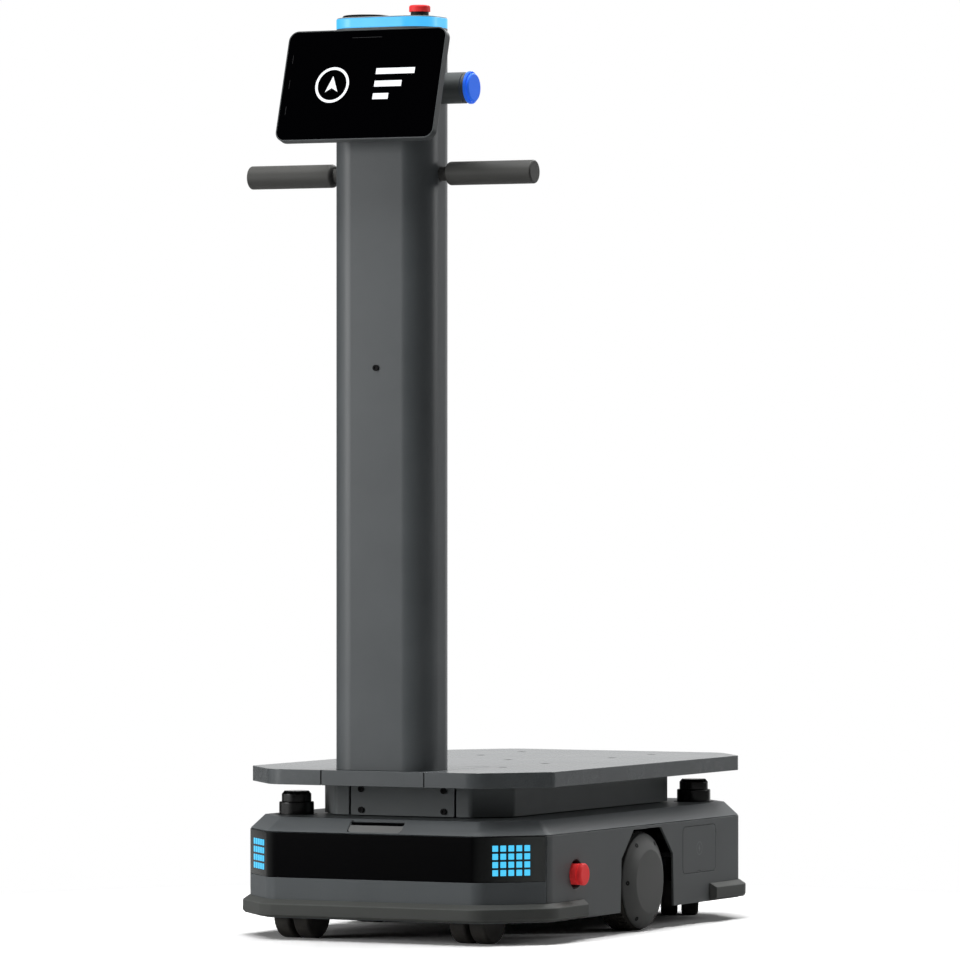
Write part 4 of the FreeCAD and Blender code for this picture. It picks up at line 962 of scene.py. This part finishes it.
@dataclass
class LowerBody(Assembly):
    """Covers, light panel, lamp tiles and front camera of the lower body."""

    corner_lean: float = math.atan2(80.0, 75.0)
    tile: float = 8.6 * MM
    pitch: float = 12.2 * MM
    rise: float = 11.6 * MM
    columns: int = 5
    rows: int = 4
    shoulder_slope: float = math.atan2(20.5, 22.0)
    sill_in: float = 10.6 * MM
    sill_down: float = 10.25 * MM
    sill_depth: float = 1.8 * MM
    sill_half: float = 43.8 * MM
    sill_low: float = -11.3 * MM
    sill_high: float = 3.4 * MM
    sill_corner: float = 3.8 * MM
    sill_bulge: float = 0.3
    sill_plate: float = 0.4 * MM
    sill_gap: float = 0.9 * MM
    sill_step: float = 0.1 * MM
    slot_margin: float = 4.0 * MM
    slot_rim: float = 0.3 * MM

    def build(self) -> None:
        """Build every piece of the lower body."""
        Workshop.soften(Finishes.BODY, Round.SOFT, "front_cover", "rear_cover")
        Workshop.soften(Finishes.LID, Round.SOFT, "top_cover", crisp=self.slot_zone())
        Workshop.soften(Finishes.SIDE, Round.SOFT, *(f"{side}_side_cover" for side in SIDES))
        Workshop.soften(Finishes.PANEL, Round.FINE, "light_panel")
        Workshop.soften(Finishes.GLOSS, Round.SMALL, "front_camera")
        # Dark plate under the pale sill: painted shade in the gap around it.
        self.build_sill("sill_shade_outline", 0.0, 0.0, Finishes.SHADE)
        # Pale plate: painted light on the sill.
        self.build_sill("camera_sill", self.sill_gap, self.sill_step, Finishes.SILL)
        self.build_tiles()

    def slot_zone(self) -> Zone:
        """Find the camera slot.

        Returns:
            Box around the slot, clear of the cover's own edges.
        """
        low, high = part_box("top_cover")
        reach = self.sill_half + self.slot_margin
        rear = low.y + 2 * self.sill_in + self.slot_margin
        return Zone(Vector((-reach, low.y, low.z)), Vector((reach, rear, high.z - self.slot_rim)))

    def build_sill(self, name: str, gap: float, step: float, surface: Surface) -> None:
        """Thin plate on the floor of the camera slot, below the lens; the full dark one is painted shade
        that outlines the pale one.

        Args:
            name: Name of the piece.
            gap: Distance by which it is smaller than the floor on each side.
            step: Distance by which it stands above the lowest plate.
            surface: Its finish.
        """
        cut = self.sill_corner + 2 * gap
        bulge = cut * self.sill_bulge
        half, low, high = self.sill_half - gap, self.sill_low + gap, self.sill_high
        right = [(half - cut, low), (half - bulge, low + bulge), (half, low + cut), (half, high)]
        outline = right + [(-x, y) for x, y in reversed(right)]
        low_corner, high_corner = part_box("top_cover")
        slope = moved(y=low_corner.y + self.sill_in, z=high_corner.z - self.sill_down)
        sunk = moved(z=step - self.sill_depth - self.sill_plate / 2)
        place = slope @ rotated(self.shoulder_slope, "X") @ sunk
        Workshop.hang(Workshop.plates(name, [outline], self.sill_plate, place), CHASSIS, surface)

    def build_tiles(self) -> None:
        """Lamp tiles on the two cut corners, as one piece."""
        low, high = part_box("led_tiles")
        half_x = ((self.columns - 1) * self.pitch + self.tile) / 2 * math.cos(self.corner_lean)
        block = Workshop.grow("lamp_block", GeometryTrees.lamp_tiles(), {
            "Columns": self.columns,
            "Rows": self.rows,
            "Width": (self.columns - 1) * self.pitch,
            "Height": (self.rows - 1) * self.rise,
            "Tile": self.tile,
            "Finish": Finishes.LAMP.material(),
        })
        places = []
        for sign, edge in ((-1, low.x), (1, high.x)):
            spot = moved(edge - sign * half_x, (low.y + high.y) / 2, (low.z + high.z) / 2)
            places.append(spot @ (rotated(sign * self.corner_lean, "Z") @ Axis.FRONT.value))
        tiles = Workshop.copies("lamp_tiles", block, places)
        Workshop.hang(tiles, CHASSIS, Finishes.LAMP, ("led_tiles",))


@dataclass
class ChargeBay(Assembly):
    """Charge door with its sign, and the socket behind it."""

    mark_radius: float = 10.0 * MM
    mark_line: float = 1.0 * MM
    mark_steps: int = 40
    mark_height: float = 112.5 * MM
    mark_thickness: float = 0.06 * MM
    bolt_share: float = 0.6
    bolt: Pairs = ((0.15, 1.0), (-0.55, -0.1), (0.0, -0.1), (0.1, 0.12))
    pull_highlight_half: float = 5.6 * MM
    pull_highlight_height: float = 1.6 * MM
    pull_highlight_drop: float = 35.2 * MM
    # Sizes of the painted shade around the socket.
    shade_sheet_reach: float = 16.0 * MM
    shade_sheet_depth: float = 13.0 * MM
    shade_sheet_below: float = 12.0 * MM
    shade_sheet_above: float = 14.0 * MM
    shade_sheet_thickness: float = 1.0 * MM

    def build(self) -> None:
        """Build the door, the socket and the contacts."""
        Workshop.soften(Finishes.SIDE, Round.HAIR, "charge_door")
        Workshop.soften(Finishes.MATT, Round.THIN, "charge_socket")
        Workshop.soften(Finishes.BRASS, Round.HAIR, "charge_contacts")
        self.build_shade_sheets()
        self.build_mark()

    def build_shade_sheets(self) -> None:
        """Painted shade: dark strips around the socket, which close the gaps beside it."""
        low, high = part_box("charge_socket")
        front, rear = low.y - self.shade_sheet_reach, high.y + self.shade_sheet_reach
        bottom, top = low.z - self.shade_sheet_below, high.z + self.shade_sheet_above
        outlines = [
            rectangle(front, bottom, low.y, top),
            rectangle(high.y, bottom, rear, top),
            rectangle(low.y, bottom, high.y, low.z),
            rectangle(low.y, high.z, high.y, top),
        ]
        place = moved(high.x - self.shade_sheet_depth) @ Axis.RIGHT_UPRIGHT.value
        shade_sheets = Workshop.plates("socket_shade_sheets", outlines, self.shade_sheet_thickness, place)
        Workshop.hang(shade_sheets, CHASSIS, Finishes.SHADE)

    def build_mark(self) -> None:
        """Charging sign on the door, a ring and a bolt, and below it a pale line at the pull, a painted
        highlight on its edge.
        """
        outlines = ring_outlines(self.mark_radius, self.mark_line, self.mark_steps)
        size = self.mark_radius * self.bolt_share
        for way in (1, -1):
            outlines.append([(way * x * size, way * y * size) for x, y in self.bolt])
        # Pale bar at the pull: painted highlight.
        foot = -self.pull_highlight_drop
        outlines.append(rectangle(-self.pull_highlight_half, foot, self.pull_highlight_half, foot + self.pull_highlight_height))
        low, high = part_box("charge_door")
        place = moved(high.x, (low.y + high.y) / 2, self.mark_height) @ Axis.RIGHT_UPRIGHT.value
        mark = Workshop.plates("charge_sign", outlines, self.mark_thickness, place)
        Workshop.hang(mark, "charge_door", Finishes.MARK)


@dataclass
class Bumpers(Assembly):
    """Rubber strips at the front and the rear."""

    def build(self) -> None:
        """Build both strips."""
        Workshop.soften(Finishes.BUMPER, Round.FULL, "front_bumper", "rear_bumper")


@dataclass
class Scanners(Assembly):
    """Laser scanners on two corners of the top cover, each on a flat dark ring."""

    base_radius: float = 25.5 * MM
    dark_ring_inner: float = 25.2 * MM
    dark_ring_outer: float = 30.5 * MM
    dark_ring_height: float = 0.4 * MM
    dark_ring_steps: int = 64

    def build(self) -> None:
        """Build the bases, the windows and the dark rings."""
        Workshop.soften(Finishes.DOME, Round.THIN, "scanner_bases")
        Workshop.soften(Finishes.DOME, Round.FINE, "scanner_windows")
        low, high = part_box("scanner_bases")
        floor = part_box("top_cover")[1].z
        inset = self.base_radius
        self.build_dark_ring("front", moved(low.x + inset, low.y + inset, floor))
        self.build_dark_ring("rear", moved(high.x - inset, high.y - inset, floor))

    def build_dark_ring(self, end: str, place: Matrix) -> None:
        """Flat dark ring between a scanner and the cover.

        Args:
            end: End of the robot that the scanner is at.
            place: Place of the scanner on the cover.
        """
        height = self.dark_ring_height
        profile = rectangle(self.dark_ring_inner, -height, self.dark_ring_outer, height)
        ring = Workshop.turned(f"{end}_scanner_dark_ring", profile, self.dark_ring_steps, place)
        Workshop.hang(ring, CHASSIS, Finishes.MATT)


@dataclass
class Pedestal(Assembly):
    """Housing under the deck, its plate and the screws on the front."""

    screw_x: float = 67.0 * MM
    screw_heights: tuple[float, float] = (185.0 * MM, 215.0 * MM)
    column_screw: float = 824.0 * MM
    head_radius: float = 4.5 * MM
    head_height: float = 2.5 * MM
    socket_radius: float = 2.5 * MM
    # Sizes of the painted shade behind the plate.
    gap_shade_margin: float = 3.6 * MM
    gap_shade_setback: float = 0.3 * MM
    gap_shade_thickness: float = 0.6 * MM

    def build(self) -> None:
        """Build the housing, the plate, the painted shade behind it and the screws."""
        # The pedestal's finish is lightened as painted light against the deck's shade.
        Workshop.soften(Finishes.PEDESTAL, Round.SOFT, "pedestal_housing")
        Workshop.soften(Finishes.PEDESTAL, Round.SMALL, "pedestal_plate")
        self.build_gap_shade()
        self.build_screws()

    def build_gap_shade(self) -> None:
        """Painted shade: dark sheet behind the plate, which shows in the gaps beside it."""
        low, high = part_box("pedestal_plate")
        half = high.x + self.gap_shade_margin
        sheet = rectangle(-half, 0.0, half, high.z - low.z)
        back = high.y + self.gap_shade_setback + self.gap_shade_thickness
        place = moved(y=back, z=low.z) @ Axis.FRONT.value
        gap_shade = Workshop.plates("plate_gap_shade", [sheet], self.gap_shade_thickness, place)
        Workshop.hang(gap_shade, CHASSIS, Finishes.SHADE)

    def build_screws(self) -> None:
        """Socket screws of the plate and of the column, as one piece."""
        plate_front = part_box("pedestal_plate")[0].y
        column_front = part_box("column_tube")[0].y
        spots = [(sign * self.screw_x, plate_front, z) for z in self.screw_heights for sign in (-1, 1)]
        spots.append((0.0, column_front, self.column_screw))
        head = Workshop.grow("screw_head", GeometryTrees.screws(), {
            "Count": 1,
            "Ring Radius": 0.0,
            "Head Radius": self.head_radius,
            "Head Height": self.head_height,
            "Socket Radius": self.socket_radius,
            "Finish": Finishes.SCREW.material(),
        })
        half = moved(z=self.head_height / 2)
        places = [moved(*spot) @ Axis.FRONT.value @ half for spot in spots]
        screws = Workshop.copies("front_screws", head, places)
        Workshop.hang(screws, CHASSIS, Finishes.SCREW, ("cover_screws",))


@dataclass
class LoadDeck(Assembly):
    """Deck, its inserts and the foot of the column with a strip of painted shade in the seam on each side.
    """

    seam: float = 1.8 * MM
    shade_sheet_drop: float = 0.8 * MM
    shade_sheet_length: float = 60.0 * MM

    def build(self) -> None:
        """Build the deck, its foot and the painted shade in its seams."""
        Workshop.soften(Finishes.DECK, Round.THIN, "load_deck")
        self.build_shade_sheets()
        Workshop.soften(Finishes.DECK, Round.THIN, "column_foot")
        Workshop.soften(Finishes.SCREW, Round.FINE, "deck_inserts")

    def build_shade_sheets(self) -> None:
        """Painted shade: dark strip in the seam on each side of the foot, set back from the front and the
        top.
        """
        low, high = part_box("column_foot")
        front = low.y + self.shade_sheet_drop
        rear = front + self.shade_sheet_length
        spans = ((low.x - self.seam, low.x), (high.x, high.x + self.seam))
        outlines = [rectangle(near, front, far, rear) for near, far in spans]
        height = high.z - low.z - 2 * self.shade_sheet_drop
        shade_sheets = Workshop.plates("foot_shade_sheets", outlines, height, moved(z=low.z + self.shade_sheet_drop))
        Workshop.hang(shade_sheets, CHASSIS, Finishes.SHADE)


@dataclass
class Column(Assembly):
    """Column with its light ring, cap, upward camera and the collar of its stop button."""

    def build(self) -> None:
        """Build the column from the foot to the cap."""
        Workshop.soften(Finishes.COLUMN, Round.SOFT, "column_tube")
        Workshop.soften(Finishes.RING, Round.SMALL, "light_ring")
        Workshop.soften(Finishes.CAP, Round.FINE, "top_cap")
        Workshop.soften(Finishes.GLOSS, Round.FINE, "top_camera_window")
        Workshop.soften(Finishes.MATT, Round.FINE, "top_stop_collar")


@dataclass
class Display(Assembly):
    """Tilted display with a plain status picture."""

    lean: float = math.radians(16.8)
    glass_thickness: float = 1.8 * MM
    ink: float = 0.08 * MM
    ring_radius: float = 27.0 * MM
    ring_line: float = 4.0 * MM
    ring_steps: int = 48
    ring_x: float = -46.0 * MM
    arrow_share: float = 0.5
    arrow_wing: Pairs = ((0.0, 1.0), (0.0, -0.35), (-0.75, -0.8))
    bar_x: float = 22.0 * MM
    bar_width: float = 62.0 * MM
    bar_height: float = 9.0 * MM
    bar_pitch: float = 19.0 * MM
    bar_shares: tuple[float, ...] = (1.0, 0.7, 0.4)
    slot_line: float = 0.7 * MM
    microphone_in: float = 9.0 * MM
    microphone_length: float = 13.0 * MM
    microphone_heights: tuple[float, ...] = (-44.0 * MM, -4.0 * MM, 34.0 * MM)
    speaker_down: float = 11.0 * MM
    speaker_half: float = 24.0 * MM

    def build(self) -> None:
        """Build the shell, the glass, the bracket and what the glass shows."""
        Workshop.soften(Finishes.SHELL, Round.SMALL, "display_shell")
        Workshop.soften(Finishes.GLASS, Round.THIN, "display_glass")
        Workshop.soften(Finishes.SHELL, Round.WIDE, "display_bracket")
        self.put_on_glass("status_picture", self.picture(), Finishes.ICON)
        self.put_on_glass("glass_slots", self.slots(), Finishes.FAINT)

    def glass_size(self) -> tuple[float, float]:
        """Measure the glass along its own face.

        Returns:
            Width and height.
        """
        low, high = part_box("display_glass")
        height = (high.z - low.z - self.glass_thickness * math.sin(self.lean)) / math.cos(self.lean)
        return high.x - low.x, height

    def put_on_glass(self, name: str, outlines: list[Outline], surface: Surface) -> None:
        """Lay thin plates on the face of the glass.

        Args:
            name: Name of the piece.
            outlines: Outlines of the plates, about the middle of the glass.
            surface: Their finish.
        """
        low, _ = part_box("display_glass")
        edge = moved(y=low.y, z=low.z + self.glass_thickness * math.sin(self.lean))
        half = moved(y=self.glass_size()[1] / 2)
        place = edge @ rotated(QUARTER - self.lean, "X") @ half
        Workshop.hang(Workshop.plates(name, outlines, self.ink, place), CHASSIS, surface)

    def picture(self) -> list[Outline]:
        """Heading arrow in a ring, beside three level bars.

        Returns:
            Outlines about the middle of the glass.
        """
        outlines = ring_outlines(self.ring_radius, self.ring_line, self.ring_steps, self.ring_x)
        size = self.ring_radius * self.arrow_share
        left = [(self.ring_x + x * size, y * size) for x, y in self.arrow_wing]
        right = [(self.ring_x - x * size, y * size) for x, y in reversed(self.arrow_wing)]
        outlines += [right, left]
        for row, share in enumerate(self.bar_shares):
            y = (1 - row) * self.bar_pitch - self.bar_height / 2
            end = self.bar_x + self.bar_width * share
            outlines.append(rectangle(self.bar_x, y, end, y + self.bar_height))
        return outlines

    def slots(self) -> list[Outline]:
        """Faint slots of the microphones and the loudspeaker near the edges of the glass.

        Returns:
            Outlines about the middle of the glass.
        """
        width, height = self.glass_size()
        left = -width / 2 + self.microphone_in
        top = height / 2 - self.speaker_down
        line, length = self.slot_line, self.microphone_length
        outlines = [rectangle(left, y, left + line, y + length) for y in self.microphone_heights]
        outlines.append(rectangle(-self.speaker_half, top, self.speaker_half, top + line))
        return outlines


@dataclass
class Handles(Assembly):
    """Bar through the column with two soft grips."""

    def build(self) -> None:
        """Build the bar and the grips."""
        Workshop.soften(Finishes.GRIP, Round.SMALL, "handle_bar")
        Workshop.soften(Finishes.GRIP, Round.THIN, *(f"{side}_handle_grip" for side in SIDES))


@dataclass
class Buttons(Assembly):
    """Call button and stop buttons with what they sit in."""

    def build(self) -> None:
        """Build the buttons, the boss, the bezel and the cups."""
        Workshop.soften(Finishes.BOSS, Round.SMALL, "call_button_boss")
        Workshop.soften(Finishes.BLUE, Round.FINE, "call_button_bezel", "call_button")
        Workshop.soften(Finishes.MATT, Round.FINE, "stop_cups")
        Workshop.soften(Finishes.RED, Round.FINE, *(f"{place}_stop_button" for place in ("top", *SIDES)))


@dataclass
class DriveWheel(Assembly):
    """One hub motor wheel on its swing arm."""

    side: str
    tyre_inner: float = 56.0 * MM
    tyre_steps: int = 128
    groove_depth: float = 1.6 * MM
    groove_width: float = 2.0 * MM
    rib_half: float = 4.0 * MM
    shoulder: float = 5.0 * MM
    shoulder_steps: int = 6
    lug_count: int = 54
    lug_share: float = 0.72
    screw_count: int = 6
    screw_ring: float = 61.5 * MM
    screw_radius: float = 3.4 * MM
    screw_height: float = 3.4 * MM
    screw_socket: float = 0.9 * MM
    screw_sink: float = 0.3 * MM
    cover_flat: float = 46.5 * MM
    cover_rim: float = 70.0 * MM
    cover_rise: float = 11.0 * MM
    cover_boss: float = 20.0 * MM
    cover_back: float = 2.35 * MM
    cover_soft: float = 1.2 * MM
    cover_shares: tuple[float, ...] = (1.0, 0.55, 0.2, 0.0)
    cover_steps: int = 144

    @property
    def body(self) -> str:
        """Body that turns with the wheel."""
        return f"{self.side}_drive_wheel"

    def build(self) -> None:
        """Build the tyre, the cover, the motor and the arm."""
        self.build_tyre()
        self.build_screws()
        self.build_cover()
        Workshop.dress(f"{self.side}_hub_motor", Finishes.MOTOR)
        Workshop.soften(Finishes.ARM, Round.SOFT, f"{self.side}_swing_arm")

    def build_tyre(self) -> None:
        """Tyre with two grooves and shoulder blocks."""
        low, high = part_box(f"{self.side}_tyre")
        outer = (high.z - low.z) / 2
        half = (high.x - low.x) / 2
        bed = outer - self.groove_depth
        groove_end = self.rib_half + self.groove_width
        profile = [(self.tyre_inner, -half)]
        profile += self.rounded(bed, -half, -1)
        profile += [(bed, -groove_end), (bed, -self.rib_half), (outer, -self.rib_half)]
        profile += [(outer, self.rib_half), (bed, self.rib_half), (bed, groove_end)]
        profile += self.rounded(bed, half, 1)
        profile.append((self.tyre_inner, half))
        place = Matrix.Translation(middle(f"{self.side}_tyre")) @ outward(self.side)
        tyre = Workshop.turned(f"{self.side}_tyre_piece", profile, self.tyre_steps, place)
        Workshop.hang(tyre, self.body, Finishes.TYRE, (f"{self.side}_tyre",))
        length = half - self.shoulder - self.rib_half - self.groove_width
        across = FULL_TURN * outer / self.lug_count
        lugs = Workshop.grow(f"{self.side}_tread_blocks", GeometryTrees.lugs(), {
            "Count": self.lug_count,
            "Radius": bed,
            "Block": (2 * self.groove_depth, across * self.lug_share, length),
            "Offset": groove_end + length / 2,
            "Finish": Finishes.TYRE.material(),
        })
        lugs.data.transform(place)
        Workshop.hang(lugs, self.body, Finishes.TYRE)

    def rounded(self, radius: float, end: float, way: int) -> Outline:
        """Round shoulder of the tyre, in the order of the profile.

        Args:
            radius: Radius of the tread bed.
            end: Height of the tyre's face.
            way: Side of the tyre, -1 or 1.

        Returns:
            Corners (radius, height).
        """
        points = []
        for step in range(self.shoulder_steps + 1):
            turn = QUARTER * step / self.shoulder_steps
            out = radius - self.shoulder * (1 - math.sin(turn))
            up = end - way * self.shoulder * (1 - math.cos(turn))
            points.append((out, up))
        return points if way < 0 else list(reversed(points))

    def build_cover(self) -> None:
        """Dished cover over the hub, with a soft edge around its flat."""
        low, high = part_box(f"{self.side}_hub_cover")
        depth = high.x - low.x
        foot = depth - self.cover_rise
        slope = self.cover_rise / (self.cover_rim - self.cover_flat)
        profile = [(0.0, 0.0), (self.cover_boss, 0.0), (self.cover_boss, depth / 2)]
        profile += [(self.cover_rim, self.cover_back), (self.cover_rim, foot - self.cover_soft)]
        profile.append((self.cover_rim - self.cover_soft, foot + self.cover_soft * slope))
        for share in self.cover_shares:
            out = self.cover_flat + self.cover_soft * (2 * share - 1)
            profile.append((out, depth - self.cover_soft * slope * share ** 2))
        profile.append((0.0, depth))
        base = middle(f"{self.side}_hub_cover")
        base.x = math.copysign(min(abs(low.x), abs(high.x)), base.x)
        place = Matrix.Translation(base) @ outward(self.side)
        cover = Workshop.turned(f"{self.side}_hub_cover_piece", profile, self.cover_steps, place)
        Workshop.hang(cover, self.body, Finishes.HUB, (f"{self.side}_hub_cover",))

    def build_screws(self) -> None:
        """Screws in the slope of the hub cover."""
        slope_width = self.cover_rim - self.cover_flat
        screws = Workshop.grow(f"{self.side}_hub_screws", GeometryTrees.screws(), {
            "Count": self.screw_count,
            "Ring Radius": self.screw_ring,
            "Head Radius": self.screw_radius,
            "Head Height": self.screw_height,
            "Socket Radius": self.screw_socket,
            "Tilt": math.atan2(self.cover_rise, slope_width),
            "Finish": Finishes.SCREW.material(),
        })
        share = (self.cover_rim - self.screw_ring) / slope_width
        low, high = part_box(f"{self.side}_hub_cover")
        face = max(abs(low.x), abs(high.x)) - self.cover_rise * (1 - share)
        centre = middle(f"{self.side}_hub_cover")
        centre.x = math.copysign(face - self.screw_height / 2 + self.screw_sink, centre.x)
        screws.data.transform(Matrix.Translation(centre) @ outward(self.side) @ rotated(QUARTER, "Z"))
        Workshop.hang(screws, self.body, Finishes.SCREW)


@dataclass
class Caster(Assembly):
    """One twin-wheel caster."""

    corner: str

    def build(self) -> None:
        """Build the fork and the wheels."""
        Workshop.soften(Finishes.ARM, Round.SMALL, f"{self.corner}_caster_fork")
        Workshop.soften(Finishes.CASTER, Round.THIN, f"{self.corner}_caster_wheels")


@dataclass
class Inside(Assembly):
    """What the covers hide: the frame, the battery and what the wheels hang on."""

    def build(self) -> None:
        """Build each piece with softened edges."""
        Workshop.soften(Finishes.FRAME, Round.SOFT, "base_frame")
        Workshop.soften(Finishes.BATTERY, Round.SOFT, "battery_pack")
        Workshop.soften(Finishes.UNIT, Round.SOFT, "control_unit")
        Workshop.soften(Finishes.ARM, Round.SOFT, "pivot_brackets", "caster_plates")


@dataclass(frozen=True)
class SoftBox:
    """Soft lamp."""

    name: str
    place: Point
    size: tuple[float, float]
    power: float

    def build(self, aim: Point) -> None:
        """Set up the lamp.

        Args:
            aim: Point that it looks at.
        """
        data = bpy.data.lights.new(self.name, "AREA")
        data.shape = "RECTANGLE"
        data.size, data.size_y = self.size
        data.energy = self.power
        lamp = bpy.data.objects.new(self.name, data)
        lamp.location = self.place
        look = Vector(aim) - Vector(self.place)
        lamp.rotation_euler = look.to_track_quat("-Z", "Y").to_euler()
        bpy.context.scene.collection.objects.link(lamp)


@dataclass
class Studio:
    """Camera, floor and soft light."""

    eye: Point = (4.4182, -8.9005, 0.6632)
    turn: float = math.radians(26.5)
    lens: float = 251.0
    sight: float = 100.0
    floor_radius: float = 3.0
    floor_steps: int = 96
    shadow_reach: float = 1.1
    shadow_core: float = 0.7
    floor_tone: float = 0.4
    fill: float = 0.05
    floor_gain: float = 1.15
    low_cards: Pairs = (
        (-180, 1.0), (-148, 1.0), (-124, 0.0), (-100, 0.0), (-80, 1.0), (-28, 1.0), (-4, 0.05), (146, 0.05),
        (172, 1.0), (180, 1.0),
    )
    high_cards: Pairs = (
        (-180, 0.8), (-120, 0.0), (-60, 0.1), (0, 1.0), (120, 1.0), (180, 0.8),
    )
    low_end: float = math.sin(math.radians(10))
    high_start: float = math.sin(math.radians(30))
    boxes: tuple[SoftBox, ...] = (
        SoftBox("top_box", (0.0, -0.15, 5.0), (1.6, 1.6), 160.0),
        SoftBox("left_box", (-2.98, -3.31, 1.13), (2.0, 1.6), 82.0),
        SoftBox("front_box", (-1.12, -2.11, 4.32), (1.6, 1.6), 75.0),
        SoftBox("right_box", (3.43, 2.68, 1.66), (1.6, 1.6), 38.5),
        SoftBox("rear_box", (0.44, 3.15, 3.68), (1.8, 1.8), 120.0),
    )
    aim: Point = (0.0, 0.0, 0.5)

    def build(self) -> None:
        """Set up the whole studio."""
        bpy.context.scene.view_settings.view_transform = "Standard"
        self.build_camera()
        self.build_world()
        self.build_floor()
        for box in self.boxes:
            box.build(self.aim)

    def build_camera(self) -> None:
        """Camera at the photograph's place."""
        data = bpy.data.cameras.new("camera")
        data.lens = self.lens
        data.clip_end = self.sight
        camera = bpy.data.objects.new("camera", data)
        camera.location = self.eye
        camera.rotation_euler = (QUARTER, 0.0, self.turn)
        bpy.context.scene.collection.objects.link(camera)
        bpy.context.scene.camera = camera

    def build_world(self) -> None:
        """White surroundings for what is seen, cards for what is mirrored and a soft fill for the rest."""
        world = bpy.data.worlds.new("studio")
        bpy.context.scene.world = world
        world.use_nodes = True
        hand = Tree(world.node_tree)
        path = hand.add("ShaderNodeLightPath").outputs
        parts = hand.parts(hand.add("ShaderNodeTexCoord").outputs["Generated"])
        turn = hand.math("ARCTAN2", parts["X"], hand.math("MULTIPLY", parts["Y"], -1.0))
        turn = hand.spread(turn, -math.pi, math.pi, (0.0, 1.0))
        low = self.cards(hand, turn, self.low_cards)
        high = self.cards(hand, turn, self.high_cards)
        rise = hand.spread(parts["Z"], self.low_end, self.high_start, (0.0, 1.0))
        mirrored = hand.mix(rise, low, high)
        shiny = hand.math("MAXIMUM", path["Is Glossy Ray"], path["Is Transmission Ray"])
        lit = hand.mix(shiny, (self.fill, self.fill, self.fill, 1.0), mirrored)
        strength = hand.mix(path["Is Camera Ray"], lit, WHITE)
        hand.fill(world.node_tree.nodes["Background"], {"Color": WHITE, "Strength": strength})

    @staticmethod
    def cards(hand: Tree, turn: bpy.types.NodeSocket, stops: Pairs) -> bpy.types.NodeSocket:
        """Brightness around the robot.

        Args:
            hand: Hand on the world's tree.
            turn: Direction, from 0 to 1 for one round that starts at the rear.
            stops: Degrees from the front, positive to the right, and brightness there.

        Returns:
            The brightness as a grey.
        """
        ramp = hand.add("ShaderNodeValToRGB", {0: turn})
        places = ramp.color_ramp.elements
        for place, (_, bright) in zip(places, (stops[0], stops[-1])):
            place.color = (bright, bright, bright, 1.0)
        for degrees, bright in stops[1:-1]:
            place = places.new((degrees + HALF_ROUND) / (2 * HALF_ROUND))
            place.color = (bright, bright, bright, 1.0)
        return ramp.outputs[0]

    def build_floor(self) -> None:
        """Pale floor that keeps the shadow near the robot and ends in white."""
        shape = bmesh.new()
        bmesh.ops.create_circle(shape, cap_ends=True, segments=self.floor_steps, radius=self.floor_radius)
        floor = Workshop.solid("floor", shape)
        made = bpy.data.materials.new("floor_white")
        made.use_nodes = True
        nodes = made.node_tree.nodes
        nodes.remove(nodes["Principled BSDF"])
        hand = Tree(made.node_tree)
        away = hand.add("ShaderNodeVectorMath", {0: hand.place()}, operation="LENGTH").outputs["Value"]
        plain = hand.spread(away, self.shadow_reach * self.shadow_core, self.shadow_reach, (0.0, 1.0))
        seen = hand.add("ShaderNodeLightPath").outputs["Is Camera Ray"]
        tone = hand.spread(seen, 0.0, 1.0, (self.floor_tone, self.floor_gain))
        colour = hand.add("ShaderNodeCombineColor", {"Red": tone, "Green": tone, "Blue": tone}).outputs[0]
        shaded = hand.add("ShaderNodeBsdfDiffuse", {"Color": colour}).outputs[0]
        white = hand.add("ShaderNodeEmission", {"Strength": 1.0}).outputs[0]
        share = hand.math("MULTIPLY", plain, seen)
        ended = hand.add("ShaderNodeMixShader", {0: share, 1: shaded, 2: white}).outputs[0]
        hand.fill(nodes["Material Output"], {"Surface": ended})
        floor.data.materials.append(made)


def main() -> None:
    """Build the robot's looks and the studio."""
    logging.basicConfig(level=logging.INFO, format="%(message)s")
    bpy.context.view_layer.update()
    assemblies: list[Assembly] = [LowerBody(), ChargeBay(), Bumpers(), Scanners(), Pedestal(), LoadDeck()]
    assemblies += [Column(), Display(), Handles(), Buttons(), Inside()]
    assemblies += [DriveWheel(side) for side in SIDES]
    assemblies += [Caster(corner) for corner in CORNERS]
    for assembly in assemblies:
        assembly.build()
    Studio().build()


if __name__ == "__main__":
    main()
